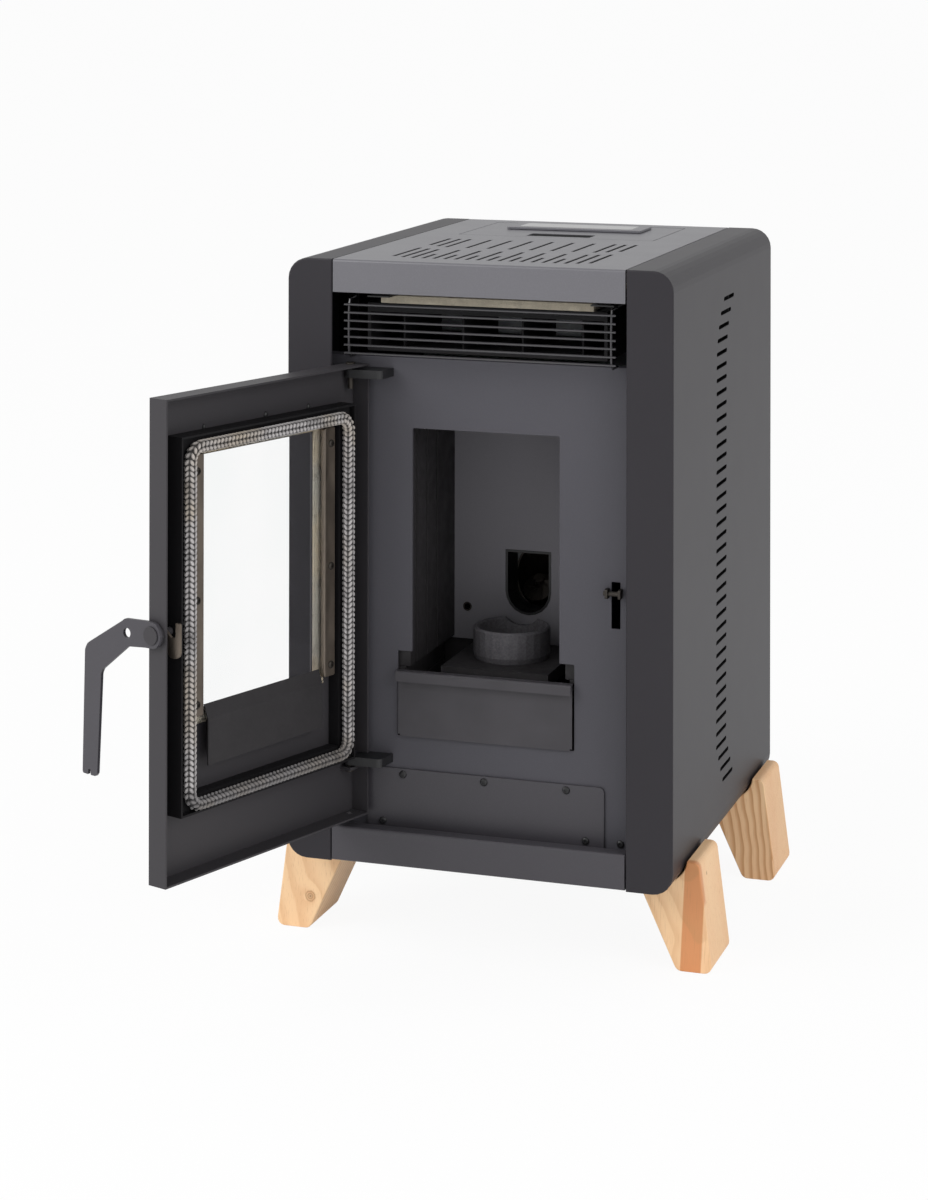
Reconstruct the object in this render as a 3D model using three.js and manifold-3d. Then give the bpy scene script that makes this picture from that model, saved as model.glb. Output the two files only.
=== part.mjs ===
// A small pellet stove with its fire door open. Millimetres, +Z up, the front faces -Y.
// Body frame: x = 0 in the middle, y = 0 at the front faces, z = 0 at the underside of the casing.
// The whole is set down on z = 0 and centred on the rectangle that it covers at the end of the file.
import * as THREE from "three";
import { mergeVertices } from "three/addons/utils/BufferGeometryUtils.js";
import Module from "manifold-3d";

const wasm = await Module();
wasm.setup();

// ---- casing ----------------------------------------------------------------
const bodyWidth = 424;
const bodyDepth = 472;
const bodyHeight = 640;
const sheet = 2;
const cornerRadius = 22;
const edgeRadius = 1.5;
const bandWidth = 50;
const seam = 1.2;
const touch = 0.3;
const topFasciaHeight = 35;
const bottomFasciaHeight = 38;
const backInset = 8;
const backFold = 26;

// ---- slots -----------------------------------------------------------------
const sideSlotLength = 50;
const sideSlotHeight = 4.5;
const sideSlotPitch = 14.25;
const sideSlotCount = 38;
const sideSlotFirst = 58;
const sideSlotCentre = 218;
const topSlotWidth = 4.4;
const topSlotPitch = 12.15;
const topSlotColumns = 19;
const topSlotLong = 90;
const topSlotShort = 44;
const topSlotStart = 38;
const backSlotStart = 152;
const shieldWidth = 86;
const shieldStand = 14;
const shieldMargin = 12;

// ---- feet ------------------------------------------------------------------
const footRise = 92;
const footLength = 83.5;
const footFrontInset = 47;
const footBackInset = 28.5;
const footInnerReach = 50.5;
const footToeInner = 7.6;
const footFlare = 30.8;
const footHip = 18.9;
const footLip = 22;
const footLipGap = 3.2;
const footFillet = 8;
const footSoft = 1.2;

// ---- chamber plate and firebox ---------------------------------------------
const plateFront = 31.5;
const plateThick = 3;
const plateTop = 534;
const plateSill = 22;
const openingWidth = 163.5;
const openingBottom = 221.3;
const openingTop = 459.3;
const notchWidth = 196;
const notchBottom = 131;
const boxWidth = 206;
const boxDepth = 166;
const boxBottom = 126;
const boxTop = 502;
const boxWall = 3;
const linerThick = 6;
const sideLinerThick = 13.7;
const grooveFirst = 55;
const groovePitch = 34;
const grooveCount = 3;
const grooveWidth = 7;
const grooveDepth = 4;
const chuteWidth = 53;
const chuteBottom = 231;
const chuteTop = 303;
const chuteWall = 2.5;
const chuteReach = 32;
const igniterX = -71;
const igniterZ = 236;
const igniterBore = 10;
const igniterWall = 1.5;
const igniterLength = 90;
const seatWidth = 120;
const seatFront = 63;
const seatBottom = 186;
const seatTop = 200;
const seatBore = 58;
const potRadius = 42;
const potHeight = 34;
const potWall = 5;
const potSocket = 11;
const potDip = 9;
const potAxisY = 127;

// ---- ash tray and inspection cover -----------------------------------------
const trayGap = 1.6;
const trayTop = 200;
const trayLipReach = 8;
const trayLipHeight = 9;
const trayDepth = 142;
const trayWallTop = 180;
const trayWall = 1.5;
const coverWidth = 262;
const coverTop = 96;
const coverThick = 2;

// ---- warm air outlet -------------------------------------------------------
const grilleWires = 7;
const grilleFirst = 540;
const grillePitch = 8.6;
const grilleSpan = 299;
const wireRadius = 1.3;
const postInset = 5;
const ductInset = 16.5;
const ductBottom = 540;
const ductTop = 591;
const ductDepth = 166;
const ductWall = 1.5;
const ductLip = 3.5;
const ductBrow = 9.4;
const dividerCount = 4;
const boardInset = 15;
const boardThick = 8;
const bracketWidth = 25;
const bracketInset = 48.5;
const bracketStagger = 19.5;

// ---- fire door -------------------------------------------------------------
const doorWidth = 312.4;
const doorHeight = 480;
const doorBottom = 47.6;
const doorDepth = 22.8;
const doorSkin = 2;
const doorOpenAngle = 109.4;
const hingeX = -144.3;
const hingeY = 10;
const doorFaceInset = 1;
const hingeEdgeInset = 14.5;
const windowWidth = 170;
const windowBottom = 208;
const windowTop = 462;
const glassMargin = 13;
const glassTopMargin = 6;
const glassThick = 4;
const tapeReveal = 1;
const tapeThick = 2;
const frameWidth = 268;
const frameBottom = 111.6;
const frameTop = 487.5;
const frameSheet = 2;
const ropeDiameter = 13.4;
const ropeWidth = 244;
const ropeBottom = 120.7;
const ropeTop = 475.7;
const ropeCorner = 14;
const ropeClear = 0.6;
const retainerWidth = 27;
const retainerThick = 6;
const deflectorTop = 213;
const deflectorBottom = 153;
const deflectorWidth = 176;
const tongueThick = 9;
const tongueUpper = 513.5;
const tongueLower = 101.9;
const tongueReach = 25;
const tongueWidth = 46;
const pinRadius = 4;
const pinLength = 24;
const pinClear = 0.5;

// ---- handle and latch ------------------------------------------------------
const leverThick = 3.5;
const leverOut = 2.7;
const spindleDepth = 8.5;
const spindleHeight = 295.5;
const spindleRadius = 4;
const hookInset = 10.6;
const hookThick = 3;
const hookHub = 6.1;
const hookThroat = 18.5;
const hookReach = 24;
const hookTip = 12;
const hookDrop = 23;
const hookShank = 11;
const keeperPinRadius = 2.6;
const keeperPinDepth = 25;
const keeperPinHeight = 300;
const keeperLugThick = 3;

// ---- hopper, lid and control plate -----------------------------------------
const hopperWidth = 280;
const hopperFront = 235;
const hopperBackInset = 22;
const hopperWall = 1.5;
const hopperShoulder = 400;
const lidWidth = 230;
const lidLength = 149;
const lidBackInset = 32;
const lidGap = 1;
const lidPinInset = 5;
const lidFlange = 14;
const fingerWidth = 76;
const fingerInset = 10;
const fingerLength = 29;
const controlWidth = 162;
const controlLength = 55;
const controlInset = 20;
const controlThick = 3;

// ---- feed auger ------------------------------------------------------------
const augerBore = 24;
const augerWall = 2;
const augerSlope = 45;
const augerBackGap = 240;
const augerShaft = 6;
const flightPitch = 30;
const flightThick = 3;
const flightClear = 1.5;
const augerOutletRun = 134;
const augerOutletWidth = 40;
const motorRadius = 28;
const motorLength = 62;

// ---- fans, fume way and rear fittings --------------------------------------
const blowerRadius = 74;
const blowerWidth = 62;
const blowerWall = 2;
const blowerMotorRadius = 34;
const blowerMotorLength = 52;
const blowerX = 112;
const blowerY = 330;
const blowerZ = 118;
const impellerRadius = 60;
const impellerBlades = 12;
const impellerWidth = 40;
const flueRadius = 40;
const flueReach = 42;
const fumeWidth = 60;
const fumeDepth = 28;
const roomFanRadius = 30;
const roomFanLength = 180;
const roomFanBlades = 20;
const intakeRadius = 25;
const intakeReach = 34;
const louvreCount = 9;
const louvrePitch = 14;

// ---- values worked out from the sizes above --------------------------------
const bodyHalf = bodyWidth / 2;
const bandInner = bodyHalf - bandWidth;
const panelHalf = bandInner - seam;
const liningHalf = bodyHalf - sheet - touch;
const plateBack = plateFront + plateThick;
const postSpan = grilleSpan - 2 * postInset;
const ductWidth = grilleSpan - 2 * ductInset;
const boardWidth = ductWidth - 2 * boardInset;
const bracketOffset = grilleSpan / 2 - bracketInset;
const chuteMiddle = (chuteTop - chuteBottom) / 2;
const hopperBack = bodyDepth - hopperBackInset;
const lidBack = bodyDepth - lidBackInset;
const lidFront = lidBack - lidLength;
const fingerFront = lidFront + fingerInset;
const fingerBack = fingerFront + fingerLength;
const controlBack = lidBack - controlInset;
const controlFront = controlBack - controlLength;
const augerLength = bodyDepth - augerBackGap;

// ---- materials -------------------------------------------------------------
const finish = (color, roughness, metalness) => new THREE.MeshStandardMaterial({ color, roughness, metalness });
const sidePaint = finish(0x454446, 0.45, 0.5);
const topPaint = finish(0x6c6b72, 0.55, 0.5);
const platePaint = finish(0x55545a, 0.6, 0.4);
const innerPaint = finish(0x2d2d2f, 0.6, 0.4);
const blackSteel = finish(0x1c1c1e, 0.55, 0.6);
const castIron = finish(0x2a2a2c, 0.85, 0.3);
const brightSteel = finish(0xb9b7b2, 0.35, 0.9);
const zincSheet = finish(0x9a9ca0, 0.45, 0.85);
const ropeGlass = finish(0x8e8a85, 0.95, 0);
const tapeGlass = finish(0xb9b2a6, 0.95, 0);
const board = finish(0xb8ad97, 0.95, 0);
const beech = finish(0xf0c193, 0.5, 0);
const clearGlass = finish(0xdfe6e6, 0.05, 0);
const glossBlack = finish(0x101114, 0.15, 0.1);
const blackPlastic = finish(0x151517, 0.5, 0);

// ---- outlines --------------------------------------------------------------
// Points along an arc about (cx, cy), from one angle to another in degrees.
function arc(cx, cy, radius, from, to, steps = 6) {
  const points = [];
  for (let i = 0; i <= steps; i += 1) {
    const angle = THREE.MathUtils.degToRad(from + ((to - from) * i) / steps);
    points.push([cx + radius * Math.cos(angle), cy + radius * Math.sin(angle)]);
  }
  return points;
}

// A closed outline; a point's third value rounds its corner, within its two edges.
function outline(corners, steps = 4) {
  const points = [];
  corners.forEach(([x, y, radius = 0], i) => {
    const here = new THREE.Vector2(x, y);
    const last = corners[(i + corners.length - 1) % corners.length];
    const next = corners[(i + 1) % corners.length];
    const back = new THREE.Vector2(last[0], last[1]).sub(here);
    const ahead = new THREE.Vector2(next[0], next[1]).sub(here);
    const half = Math.acos(THREE.MathUtils.clamp(back.dot(ahead) / (back.length() * ahead.length()), -1, 1)) / 2;
    const room = Math.min(back.length(), ahead.length()) * 0.49;
    const reach = Math.min(radius / Math.tan(half), room);
    if (reach < 0.01 || half > 1.55) {
      points.push(here);
      return;
    }
    const start = back.clone().normalize().multiplyScalar(reach).add(here);
    const end = ahead.clone().normalize().multiplyScalar(reach).add(here);
    const r = reach * Math.tan(half);
    const bisector = back.normalize().add(ahead.normalize()).normalize();
    const centre = bisector.multiplyScalar(r / Math.sin(half)).add(here);
    const from = start.clone().sub(centre).angle();
    let turn = end.clone().sub(centre).angle() - from;
    if (turn > Math.PI) turn -= 2 * Math.PI;
    if (turn < -Math.PI) turn += 2 * Math.PI;
    for (let k = 0; k <= steps; k += 1) {
      const angle = from + (turn * k) / steps;
      points.push(new THREE.Vector2(centre.x + r * Math.cos(angle), centre.y + r * Math.sin(angle)));
    }
  });
  return new THREE.Shape(points);
}

const rectangle = (x0, x1, y0, y1, r = 0, steps = 4) =>
  outline([[x0, y0, r], [x1, y0, r], [x1, y1, r], [x0, y1, r]], steps);

const disc = (cx, cy, radius, steps = 24) => outline(arc(cx, cy, radius, 0, 360 - 360 / steps, steps - 1));

// A slot with round ends, lying along the outline's first axis.
function slotOutline(x0, x1, cy, width, steps = 2) {
  const r = width / 2;
  return outline([...arc(x1 - r, cy, r, -90, 90, steps), ...arc(x0 + r, cy, r, 90, 270, steps)]);
}

// A sheet bent along the line of its outer face; its thickness lies to the left of that line.
function bent(line, thickness, bend) {
  const inner = line.map(([x, y], i) => {
    const before = i > 0 ? new THREE.Vector2(x - line[i - 1][0], y - line[i - 1][1]).normalize() : null;
    const after = i < line.length - 1 ? new THREE.Vector2(line[i + 1][0] - x, line[i + 1][1] - y).normalize() : null;
    const a = before ?? after;
    const b = after ?? before;
    const normal = new THREE.Vector2(-a.y - b.y, a.x + b.x).normalize();
    const grow = thickness / normal.dot(new THREE.Vector2(-a.y, a.x));
    return [x + normal.x * grow, y + normal.y * grow];
  });
  const last = line.length - 1;
  const isTurn = (i) => i > 0 && i < last;
  const outerRadius = (i) => (isTurn(i) ? bend : 0);
  const turnsLeft = (i) => {
    const [ax, ay] = [line[i][0] - line[i - 1][0], line[i][1] - line[i - 1][1]];
    const [bx, by] = [line[i + 1][0] - line[i][0], line[i + 1][1] - line[i][1]];
    return ax * by - ay * bx > 0;
  };
  const innerRadius = (i) => (isTurn(i) ? bend + (turnsLeft(i) ? -thickness : thickness) : 0);
  const near = line.map(([x, y], i) => [x, y, outerRadius(i)]);
  const far = inner.map(([x, y], i) => [x, y, Math.max(innerRadius(i), 0)]);
  return outline([...near, ...far.reverse()], 3);
}

// ---- solids ----------------------------------------------------------------
function toSolid(geometry) {
  geometry.deleteAttribute("normal");
  geometry.deleteAttribute("uv");
  const merged = mergeVertices(geometry, 1e-4);
  const place = merged.attributes.position;
  const index = merged.index.array;
  const triangles = [];
  const [a, b, c] = [new THREE.Vector3(), new THREE.Vector3(), new THREE.Vector3()];
  let volume = 0;
  for (let i = 0; i < index.length; i += 3) {
    const [p, q, r] = [index[i], index[i + 1], index[i + 2]];
    if (p === q || q === r || r === p) continue;
    triangles.push([p, q, r]);
    a.fromBufferAttribute(place, p);
    b.fromBufferAttribute(place, q);
    c.fromBufferAttribute(place, r);
    volume += a.dot(b.cross(c));
  }
  // A mirrored or reversed surface is turned so that its faces point out.
  const wound = volume < 0 ? triangles.map(([p, q, r]) => [p, r, q]) : triangles;
  const vertProperties = new Float32Array(place.array);
  const triVerts = new Uint32Array(wound.flat());
  return new wasm.Manifold(new wasm.Mesh({ numProp: 3, vertProperties, triVerts }));
}

function toGeometry(solid) {
  const mesh = solid.getMesh();
  const geometry = new THREE.BufferGeometry();
  geometry.setAttribute("position", new THREE.BufferAttribute(new Float32Array(mesh.vertProperties), 3));
  geometry.setIndex(new THREE.BufferAttribute(new Uint32Array(mesh.triVerts), 1));
  geometry.computeVertexNormals();
  return geometry;
}

const join = (...solids) => solids.flat().reduce((whole, solid) => whole.add(solid));
const cut = (solid, ...tools) => solid.subtract(join(tools));

// An outline pushed along an axis; a soft edge rounds both ends inward by that much.
function extruded(shape, length, soft = 0) {
  return new THREE.ExtrudeGeometry(shape, {
    depth: length - 2 * soft,
    bevelEnabled: soft > 0,
    bevelThickness: soft,
    bevelSize: soft,
    bevelOffset: -soft,
    bevelSegments: 2,
    curveSegments: 6,
  }).translate(0, 0, soft);
}

const axes = (x, y, z) => new THREE.Matrix4().makeBasis(x, y, z);
const [right, rear, up] = [new THREE.Vector3(1, 0, 0), new THREE.Vector3(0, 1, 0), new THREE.Vector3(0, 0, 1)];

// The outline is in (y, z) and the solid runs from x0 to x1.
const alongX = (shape, x0, x1, soft) =>
  toSolid(extruded(shape, x1 - x0, soft).applyMatrix4(axes(rear, up, right)).translate(x0, 0, 0));

// The outline is in (x, z) and the solid runs from y0 to y1.
const alongY = (shape, y0, y1, soft) =>
  toSolid(extruded(shape, y1 - y0, soft).applyMatrix4(axes(right, up, rear.clone().negate())).translate(0, y1, 0));

// The outline is in (x, y) and the solid runs from z0 to z1.
const alongZ = (shape, z0, z1, soft) => toSolid(extruded(shape, z1 - z0, soft).translate(0, 0, z0));

const block = (x0, x1, y0, y1, z0, z1) =>
  toSolid(
    new THREE.BoxGeometry(x1 - x0, y1 - y0, z1 - z0).translate((x0 + x1) / 2, (y0 + y1) / 2, (z0 + z1) / 2),
  );

// A round bar from one point to another.
function rod(from, to, radius, sides = 12) {
  const [start, end] = [new THREE.Vector3(...from), new THREE.Vector3(...to)];
  const way = end.clone().sub(start);
  const turn = new THREE.Quaternion().setFromUnitVectors(rear, way.clone().normalize());
  const bar = new THREE.CylinderGeometry(radius, radius, way.length(), sides).applyQuaternion(turn);
  return toSolid(bar.translate(...start.add(end).multiplyScalar(0.5).toArray()));
}

// A profile of [radius, height] pairs turned about the vertical.
const turned = (profile, sides = 32) =>
  toSolid(new THREE.LatheGeometry(profile.map(([r, z]) => new THREE.Vector2(r, z)), sides).rotateX(Math.PI / 2));

// A straight-sided hopper shape between two rectangles [x0, x1, y0, y1] at two heights.
function funnel(low, lowZ, high, highZ) {
  const ring = ([x0, x1, y0, y1], z) => [x0, y0, z, x1, y0, z, x1, y1, z, x0, y1, z];
  const geometry = new THREE.BufferGeometry();
  const points = new Float32Array([...ring(low, lowZ), ...ring(high, highZ)]);
  geometry.setAttribute("position", new THREE.BufferAttribute(points, 3));
  const faces = [0, 2, 1, 0, 3, 2, 4, 5, 6, 4, 6, 7];
  for (let i = 0; i < 4; i += 1) {
    const j = (i + 1) % 4;
    faces.push(i, j, j + 4, i, j + 4, i + 4);
  }
  geometry.setIndex(faces);
  return toSolid(geometry);
}

// ---- the assembly ----------------------------------------------------------
const casing = new THREE.Group();
casing.position.z = footRise;

function piece(name, solid, material, parent = casing) {
  const mesh = new THREE.Mesh(toGeometry(solid), material);
  mesh.name = name;
  parent.add(mesh);
  return mesh;
}

// ---- casing ----------------------------------------------------------------
// One wrapped side: front band, side face and the two flanges, open to the middle and the back.
function sidePanel(side) {
  const strip = (grow, inner) => outline([
    [side * inner, grow],
    [side * (bodyHalf - grow), grow, cornerRadius - grow],
    [side * (bodyHalf - grow), bodyHeight - grow, cornerRadius - grow],
    [side * inner, bodyHeight - grow],
  ], 6);
  const skin = alongY(strip(0, bandInner), 0, bodyDepth + 2 * edgeRadius, edgeRadius);
  const hollow = alongY(strip(sheet, bandInner - 10), sheet, bodyDepth + 20);
  const behind = block(-bodyWidth, bodyWidth, bodyDepth, bodyDepth + 20, -10, bodyHeight + 10);
  return cut(skin, hollow, behind, ...sideSlots(side));
}

// The column of vent slots: its top end sweeps back on an arc, its bottom end on a slant.
function sideSlots(side) {
  const sweepRadius = 90;
  const sweptSlots = 5;
  const slantedSlots = 3;
  const slantStep = 10.3;
  const slots = [];
  for (let i = 0; i < sideSlotCount; i += 1) {
    const above = Math.max(0, i - (sideSlotCount - 1 - sweptSlots)) * sideSlotPitch;
    const arcShift = sweepRadius - Math.sqrt(sweepRadius ** 2 - above ** 2);
    const slantShift = Math.max(0, slantedSlots - i) * slantStep;
    const y = sideSlotCentre + arcShift + slantShift;
    const z = sideSlotFirst + i * sideSlotPitch;
    const slot = slotOutline(y - sideSlotLength / 2, y + sideSlotLength / 2, z, sideSlotHeight);
    const ends = [side * (bodyHalf - 10), side * (bodyHalf + 10)].sort((a, b) => a - b);
    slots.push(alongX(slot, ...ends));
  }
  return slots;
}

// The top with its fascia folded down in front, a fold behind and the opening for the lid.
function topPanel() {
  const line = [[0, bodyHeight - topFasciaHeight], [0, bodyHeight], [bodyDepth, bodyHeight],
    [bodyDepth, bodyHeight - backFold]];
  const skin = alongX(bent(line.reverse(), sheet, 2.5), -panelHalf, panelHalf);
  const backGap = Math.hypot(lidPinInset, lidPinInset) - lidPinInset + lidGap;
  const mouth = block(-lidWidth / 2 - lidGap, lidWidth / 2 + lidGap, lidFront - lidGap, lidBack + backGap,
    bodyHeight - 10, bodyHeight + 10);
  return join(cut(skin, mouth, ...topSlots()), lidEar(-1), lidEar(1));
}

function topSlots() {
  const half = (topSlotColumns - 1) / 2;
  const endShift = [0, 4, 10];
  const slots = [];
  const slot = (x, start, end) =>
    slots.push(block(x - topSlotWidth / 2, x + topSlotWidth / 2, start, end, bodyHeight - 10, bodyHeight + 10));
  for (let column = -half; column <= half; column += 1) {
    const x = column * topSlotPitch;
    const fromEnd = half - Math.abs(column);
    const shift = fromEnd < 2 ? endShift[2 - fromEnd] : 0;
    const isOdd = Math.abs(column) % 2 === 1;
    const length = isOdd || fromEnd < 2 ? topSlotLong : topSlotShort;
    slot(x, topSlotStart + shift, topSlotStart + shift + length);
    if (isOdd || fromEnd < 2) slot(x, backSlotStart + 1.7 * shift, backSlotStart + topSlotLong);
  }
  return slots;
}

const lidPinY = lidBack - lidPinInset;
const lidPinZ = bodyHeight - lidPinInset;
const lidPinRadius = 2.4;

// A small ear under the top that the lid's pin turns in.
function lidEar(side) {
  const inner = lidWidth / 2 + lidGap + 0.6;
  const ends = [side * inner, side * (inner + 4)].sort((a, b) => a - b);
  const ear = alongX(rectangle(lidPinY - 7, lidPinY + 7, bodyHeight - 12, bodyHeight - 1, 3), ...ends);
  return cut(ear, alongX(disc(lidPinY, lidPinZ, lidPinRadius + 0.5, 12), -bodyHalf, bodyHalf));
}

// The lower strip: a channel with a lip folded back above and a shelf folded back below.
function bottomFascia() {
  const line = [[16, bottomFasciaHeight], [0, bottomFasciaHeight], [0, 1], [plateFront - touch, 1]];
  return alongX(bent(line, sheet, 2.5), -panelHalf, panelHalf);
}

// An outline that follows the inside of the wrapped sides.
const liningOutline = (z0, z1) =>
  rectangle(-liningHalf, liningHalf, z0, z1, cornerRadius - sheet - touch, 6);

function basePan() {
  const half = bodyHalf - cornerRadius - 1;
  const bottom = sheet + touch;
  const line = [[-half, bottom + 18], [-half, bottom], [half, bottom], [half, bottom + 18]];
  const pan = alongY(bent(line, sheet, 3), plateBack + touch, bodyDepth - backInset - sheet - touch);
  const vents = [];
  for (let i = 0; i < louvreCount; i += 1) {
    const y = 110 + i * louvrePitch;
    vents.push(block(-150, -60, y, y + 5, 0, 10), block(60, 150, y, y + 5, 0, 10));
  }
  return cut(pan, ...vents);
}

// The back: louvres beside the room fan, and holes for the flue, the air pipe and the mains inlet.
function backPanel() {
  const rearFace = bodyDepth - backInset;
  const plate = alongY(liningOutline(sheet + touch, bodyHeight - sheet - touch), rearFace - sheet, rearFace);
  const louvres = [];
  for (let i = 0; i < louvreCount; i += 1) {
    const z = 250 + i * louvrePitch;
    louvres.push(alongY(slotOutline(-175, -60, z, 6), rearFace - 10, rearFace + 10));
    louvres.push(alongY(slotOutline(60, 175, z + 130, 6), rearFace - 10, rearFace + 10));
  }
  const holes = [
    alongY(disc(blowerX, flueZ, flueRadius + 1.5), rearFace - 10, rearFace + 10),
    alongY(disc(intakeX, intakeZ, intakeRadius + 1), rearFace - 10, rearFace + 10),
    alongY(rectangle(...inletCutOut), rearFace - 10, rearFace + 10),
  ];
  return cut(plate, ...louvres, ...holes);
}

const flueZ = blowerZ + 114;
const intakeX = -120;
const intakeZ = 170;
const inletX = -165;
const inletZ = 60;
const inletWidth = 28;
const inletHeight = 48;
const inletCutOut = [inletX - inletWidth / 2 - touch, inletX + inletWidth / 2 + touch,
  inletZ - inletHeight / 2 - touch, inletZ + inletHeight / 2 + touch];

// A splayed wooden foot: it bears on the underside, wraps the corner and ends in a round lip.
function foot(side, y0) {
  const cornerX = bodyHalf - cornerRadius;
  const cornerZ = cornerRadius + footLipGap;
  const innerTop = bodyHalf - footInnerReach;
  const slope = (footFlare - footHip) / footRise;
  const cradleRadius = cornerZ + touch;
  const lipAngle = THREE.MathUtils.radToDeg(Math.asin((footLip - cornerZ) / cradleRadius));
  const cradle = arc(cornerX, cornerZ, cradleRadius, -90, lipAngle, 6);
  const profile = [
    [innerTop, -touch],
    ...cradle,
    [bodyHalf + footHip - slope * footLip, footLip, footFillet],
    [bodyHalf + footFlare, -footRise, footFillet],
    [bodyHalf - footToeInner, -footRise, footFillet],
  ].map(([x, z, r]) => [side * x, z, r ?? 0]);
  return alongY(outline(profile), y0, y0 + footLength, footSoft);
}

// A heat shield behind the side slots: a shallow channel, open above and below, that stands off the panel.
function slotShield(side) {
  const wall = side * (bodyHalf - sheet - touch);
  const face = wall - side * shieldStand;
  const [front, back] = [sideSlotCentre - shieldWidth / 2, sideSlotCentre + shieldWidth / 2];
  const line = [[wall, back], [face, back], [face, front], [wall, front]];
  const bottom = sideSlotFirst - shieldMargin;
  const top = sideSlotFirst + (sideSlotCount - 1) * sideSlotPitch + shieldMargin;
  return alongZ(bent(side > 0 ? line : line.reverse(), sheet / 2, 1), bottom, top);
}

piece("left_side_panel", sidePanel(-1), sidePaint);
piece("right_side_panel", sidePanel(1), sidePaint);
piece("top_panel", topPanel(), topPaint);
piece("bottom_fascia", bottomFascia(), platePaint);
piece("base_pan", basePan(), zincSheet);
piece("slot_shield_left", slotShield(-1), zincSheet);
piece("slot_shield_right", slotShield(1), zincSheet);
piece("back_panel", backPanel(), sidePaint);
const footBackStart = bodyDepth - footBackInset - footLength;
piece("foot_front_left", foot(-1, footFrontInset), beech);
piece("foot_front_right", foot(1, footFrontInset), beech);
piece("foot_back_left", foot(-1, footBackStart), beech);
piece("foot_back_right", foot(1, footBackStart), beech);

// ---- chamber plate and firebox ---------------------------------------------
const linerFront = plateBack + boxDepth - 12.5;
const linerBack = linerFront + linerThick;
const boxHalf = boxWidth / 2;
const boxInner = boxHalf - boxWall;
const hookX = hingeX + doorWidth - hingeEdgeInset - hookInset;
const hookSlotHalf = 4.9;

// The plate behind the door: sill folded back on top, firebox opening, drawer notch and latch slot.
function chamberPlate() {
  const plate = alongY(liningOutline(sheet + touch, plateTop + cornerRadius), plateFront, plateBack);
  const above = block(-bodyWidth, bodyWidth, 0, 100, plateTop - plateThick / 2, bodyHeight);
  const sill = block(-liningHalf, liningHalf, plateFront, plateFront + plateSill, plateTop - plateThick, plateTop);
  const through = (shape) => alongY(shape, plateFront - 10, plateBack + 10);
  const fireDoorway = through(rectangle(-openingWidth / 2, openingWidth / 2, notchBottom + 20, openingTop, 2));
  const notch = through(rectangle(-notchWidth / 2, notchWidth / 2, notchBottom, openingBottom, 1));
  const keeperSlot = through(rectangle(hookX - hookSlotHalf, hookX + hookSlotHalf, 262, 311, 1));
  const cleanOut = through(rectangle(-110, 110, 30, coverTop - 14, 6));
  return cut(join(cut(plate, above), sill), fireDoorway, notch, keeperSlot, cleanOut);
}

const chuteRadius = chuteWidth / 2 - touch;
const chuteOutline = (grow) => {
  const r = chuteRadius + grow;
  const bottom = chuteBottom + chuteWidth / 2;
  return outline([...arc(0, bottom, r, 180, 360, 10), [r, chuteTop - touch + grow], [-r, chuteTop - touch + grow]]);
};
const fumeTop = 496;
const fumeHeight = 30;
const fumeLeft = 44;
const fumeRight = fumeLeft + fumeWidth - 5;

// The welded firebox: open to the plate, with ledges for the side liners and holes behind.
function fireboxShell() {
  const front = plateBack + touch;
  const back = linerBack + touch + boxWall;
  const outer = block(-boxHalf, boxHalf, front, back, boxBottom, boxTop);
  const inner = block(-boxInner, boxInner, front - 10, back - boxWall, notchBottom, boxTop - boxWall);
  const holes = [
    alongY(chuteOutline(touch), back - 10, back + 10),
    alongY(disc(igniterX, igniterZ, igniterBore / 2 + touch, 16), back - 10, back + 10),
    block(fumeLeft + 4, fumeRight - 4, back - 10, back + 10, fumeTop - fumeHeight, fumeTop),
  ];
  const ledges = [-1, 1].map((side) => {
    const [x0, x1] = [side * (boxInner - 9), side * (boxInner + 1)].sort((a, b) => a - b);
    return block(x0, x1, front + 4, linerFront, seatTop, seatTop + boxWall);
  });
  return join(cut(outer, inner, ...holes), ...ledges);
}

const linerTop = boxTop - boxWall - 3;

function fireboxLiner() {
  const bottom = seatTop + touch;
  const plate = alongY(rectangle(touch - boxInner, boxInner - touch, bottom, linerTop), linerFront, linerBack);
  const fume = block(fumeLeft + 4, fumeRight - 4, 0, bodyDepth, fumeTop - fumeHeight, fumeTop - 4);
  const igniter = alongY(disc(igniterX, igniterZ, igniterBore / 2 + touch, 16), 0, bodyDepth);
  return cut(plate, alongY(chuteOutline(touch), 0, bodyDepth), igniter, fume);
}

// A side brick with upright grooves in its fire face.
function sideLiner(side) {
  const [x0, x1] = [side * (boxInner - touch - sideLinerThick), side * (boxInner - touch)].sort((a, b) => a - b);
  const brick = block(x0, x1, plateBack + 5, linerFront - touch, seatTop + 3 + touch, linerTop);
  const face = side * (boxInner - touch - sideLinerThick);
  const grooves = [];
  for (let i = 0; i < grooveCount; i += 1) {
    const y = grooveFirst + i * groovePitch;
    const [g0, g1] = [face - side * 5, face + side * grooveDepth].sort((a, b) => a - b);
    grooves.push(block(g0, g1, y, y + grooveWidth, seatTop, linerTop + 5));
  }
  return cut(brick, ...grooves);
}

const chuteEnd = linerFront + chuteReach + linerThick;

// The D-shaped chute that the pellets drop through, with a collar against the auger tube.
function pelletChute() {
  const duct = alongY(chuteOutline(0), linerFront, chuteEnd);
  const collar = alongY(chuteOutline(7), chuteEnd - 2.5, chuteEnd);
  return cut(join(duct, collar), alongY(chuteOutline(-chuteWall), linerFront - 5, chuteEnd + 5));
}

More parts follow.
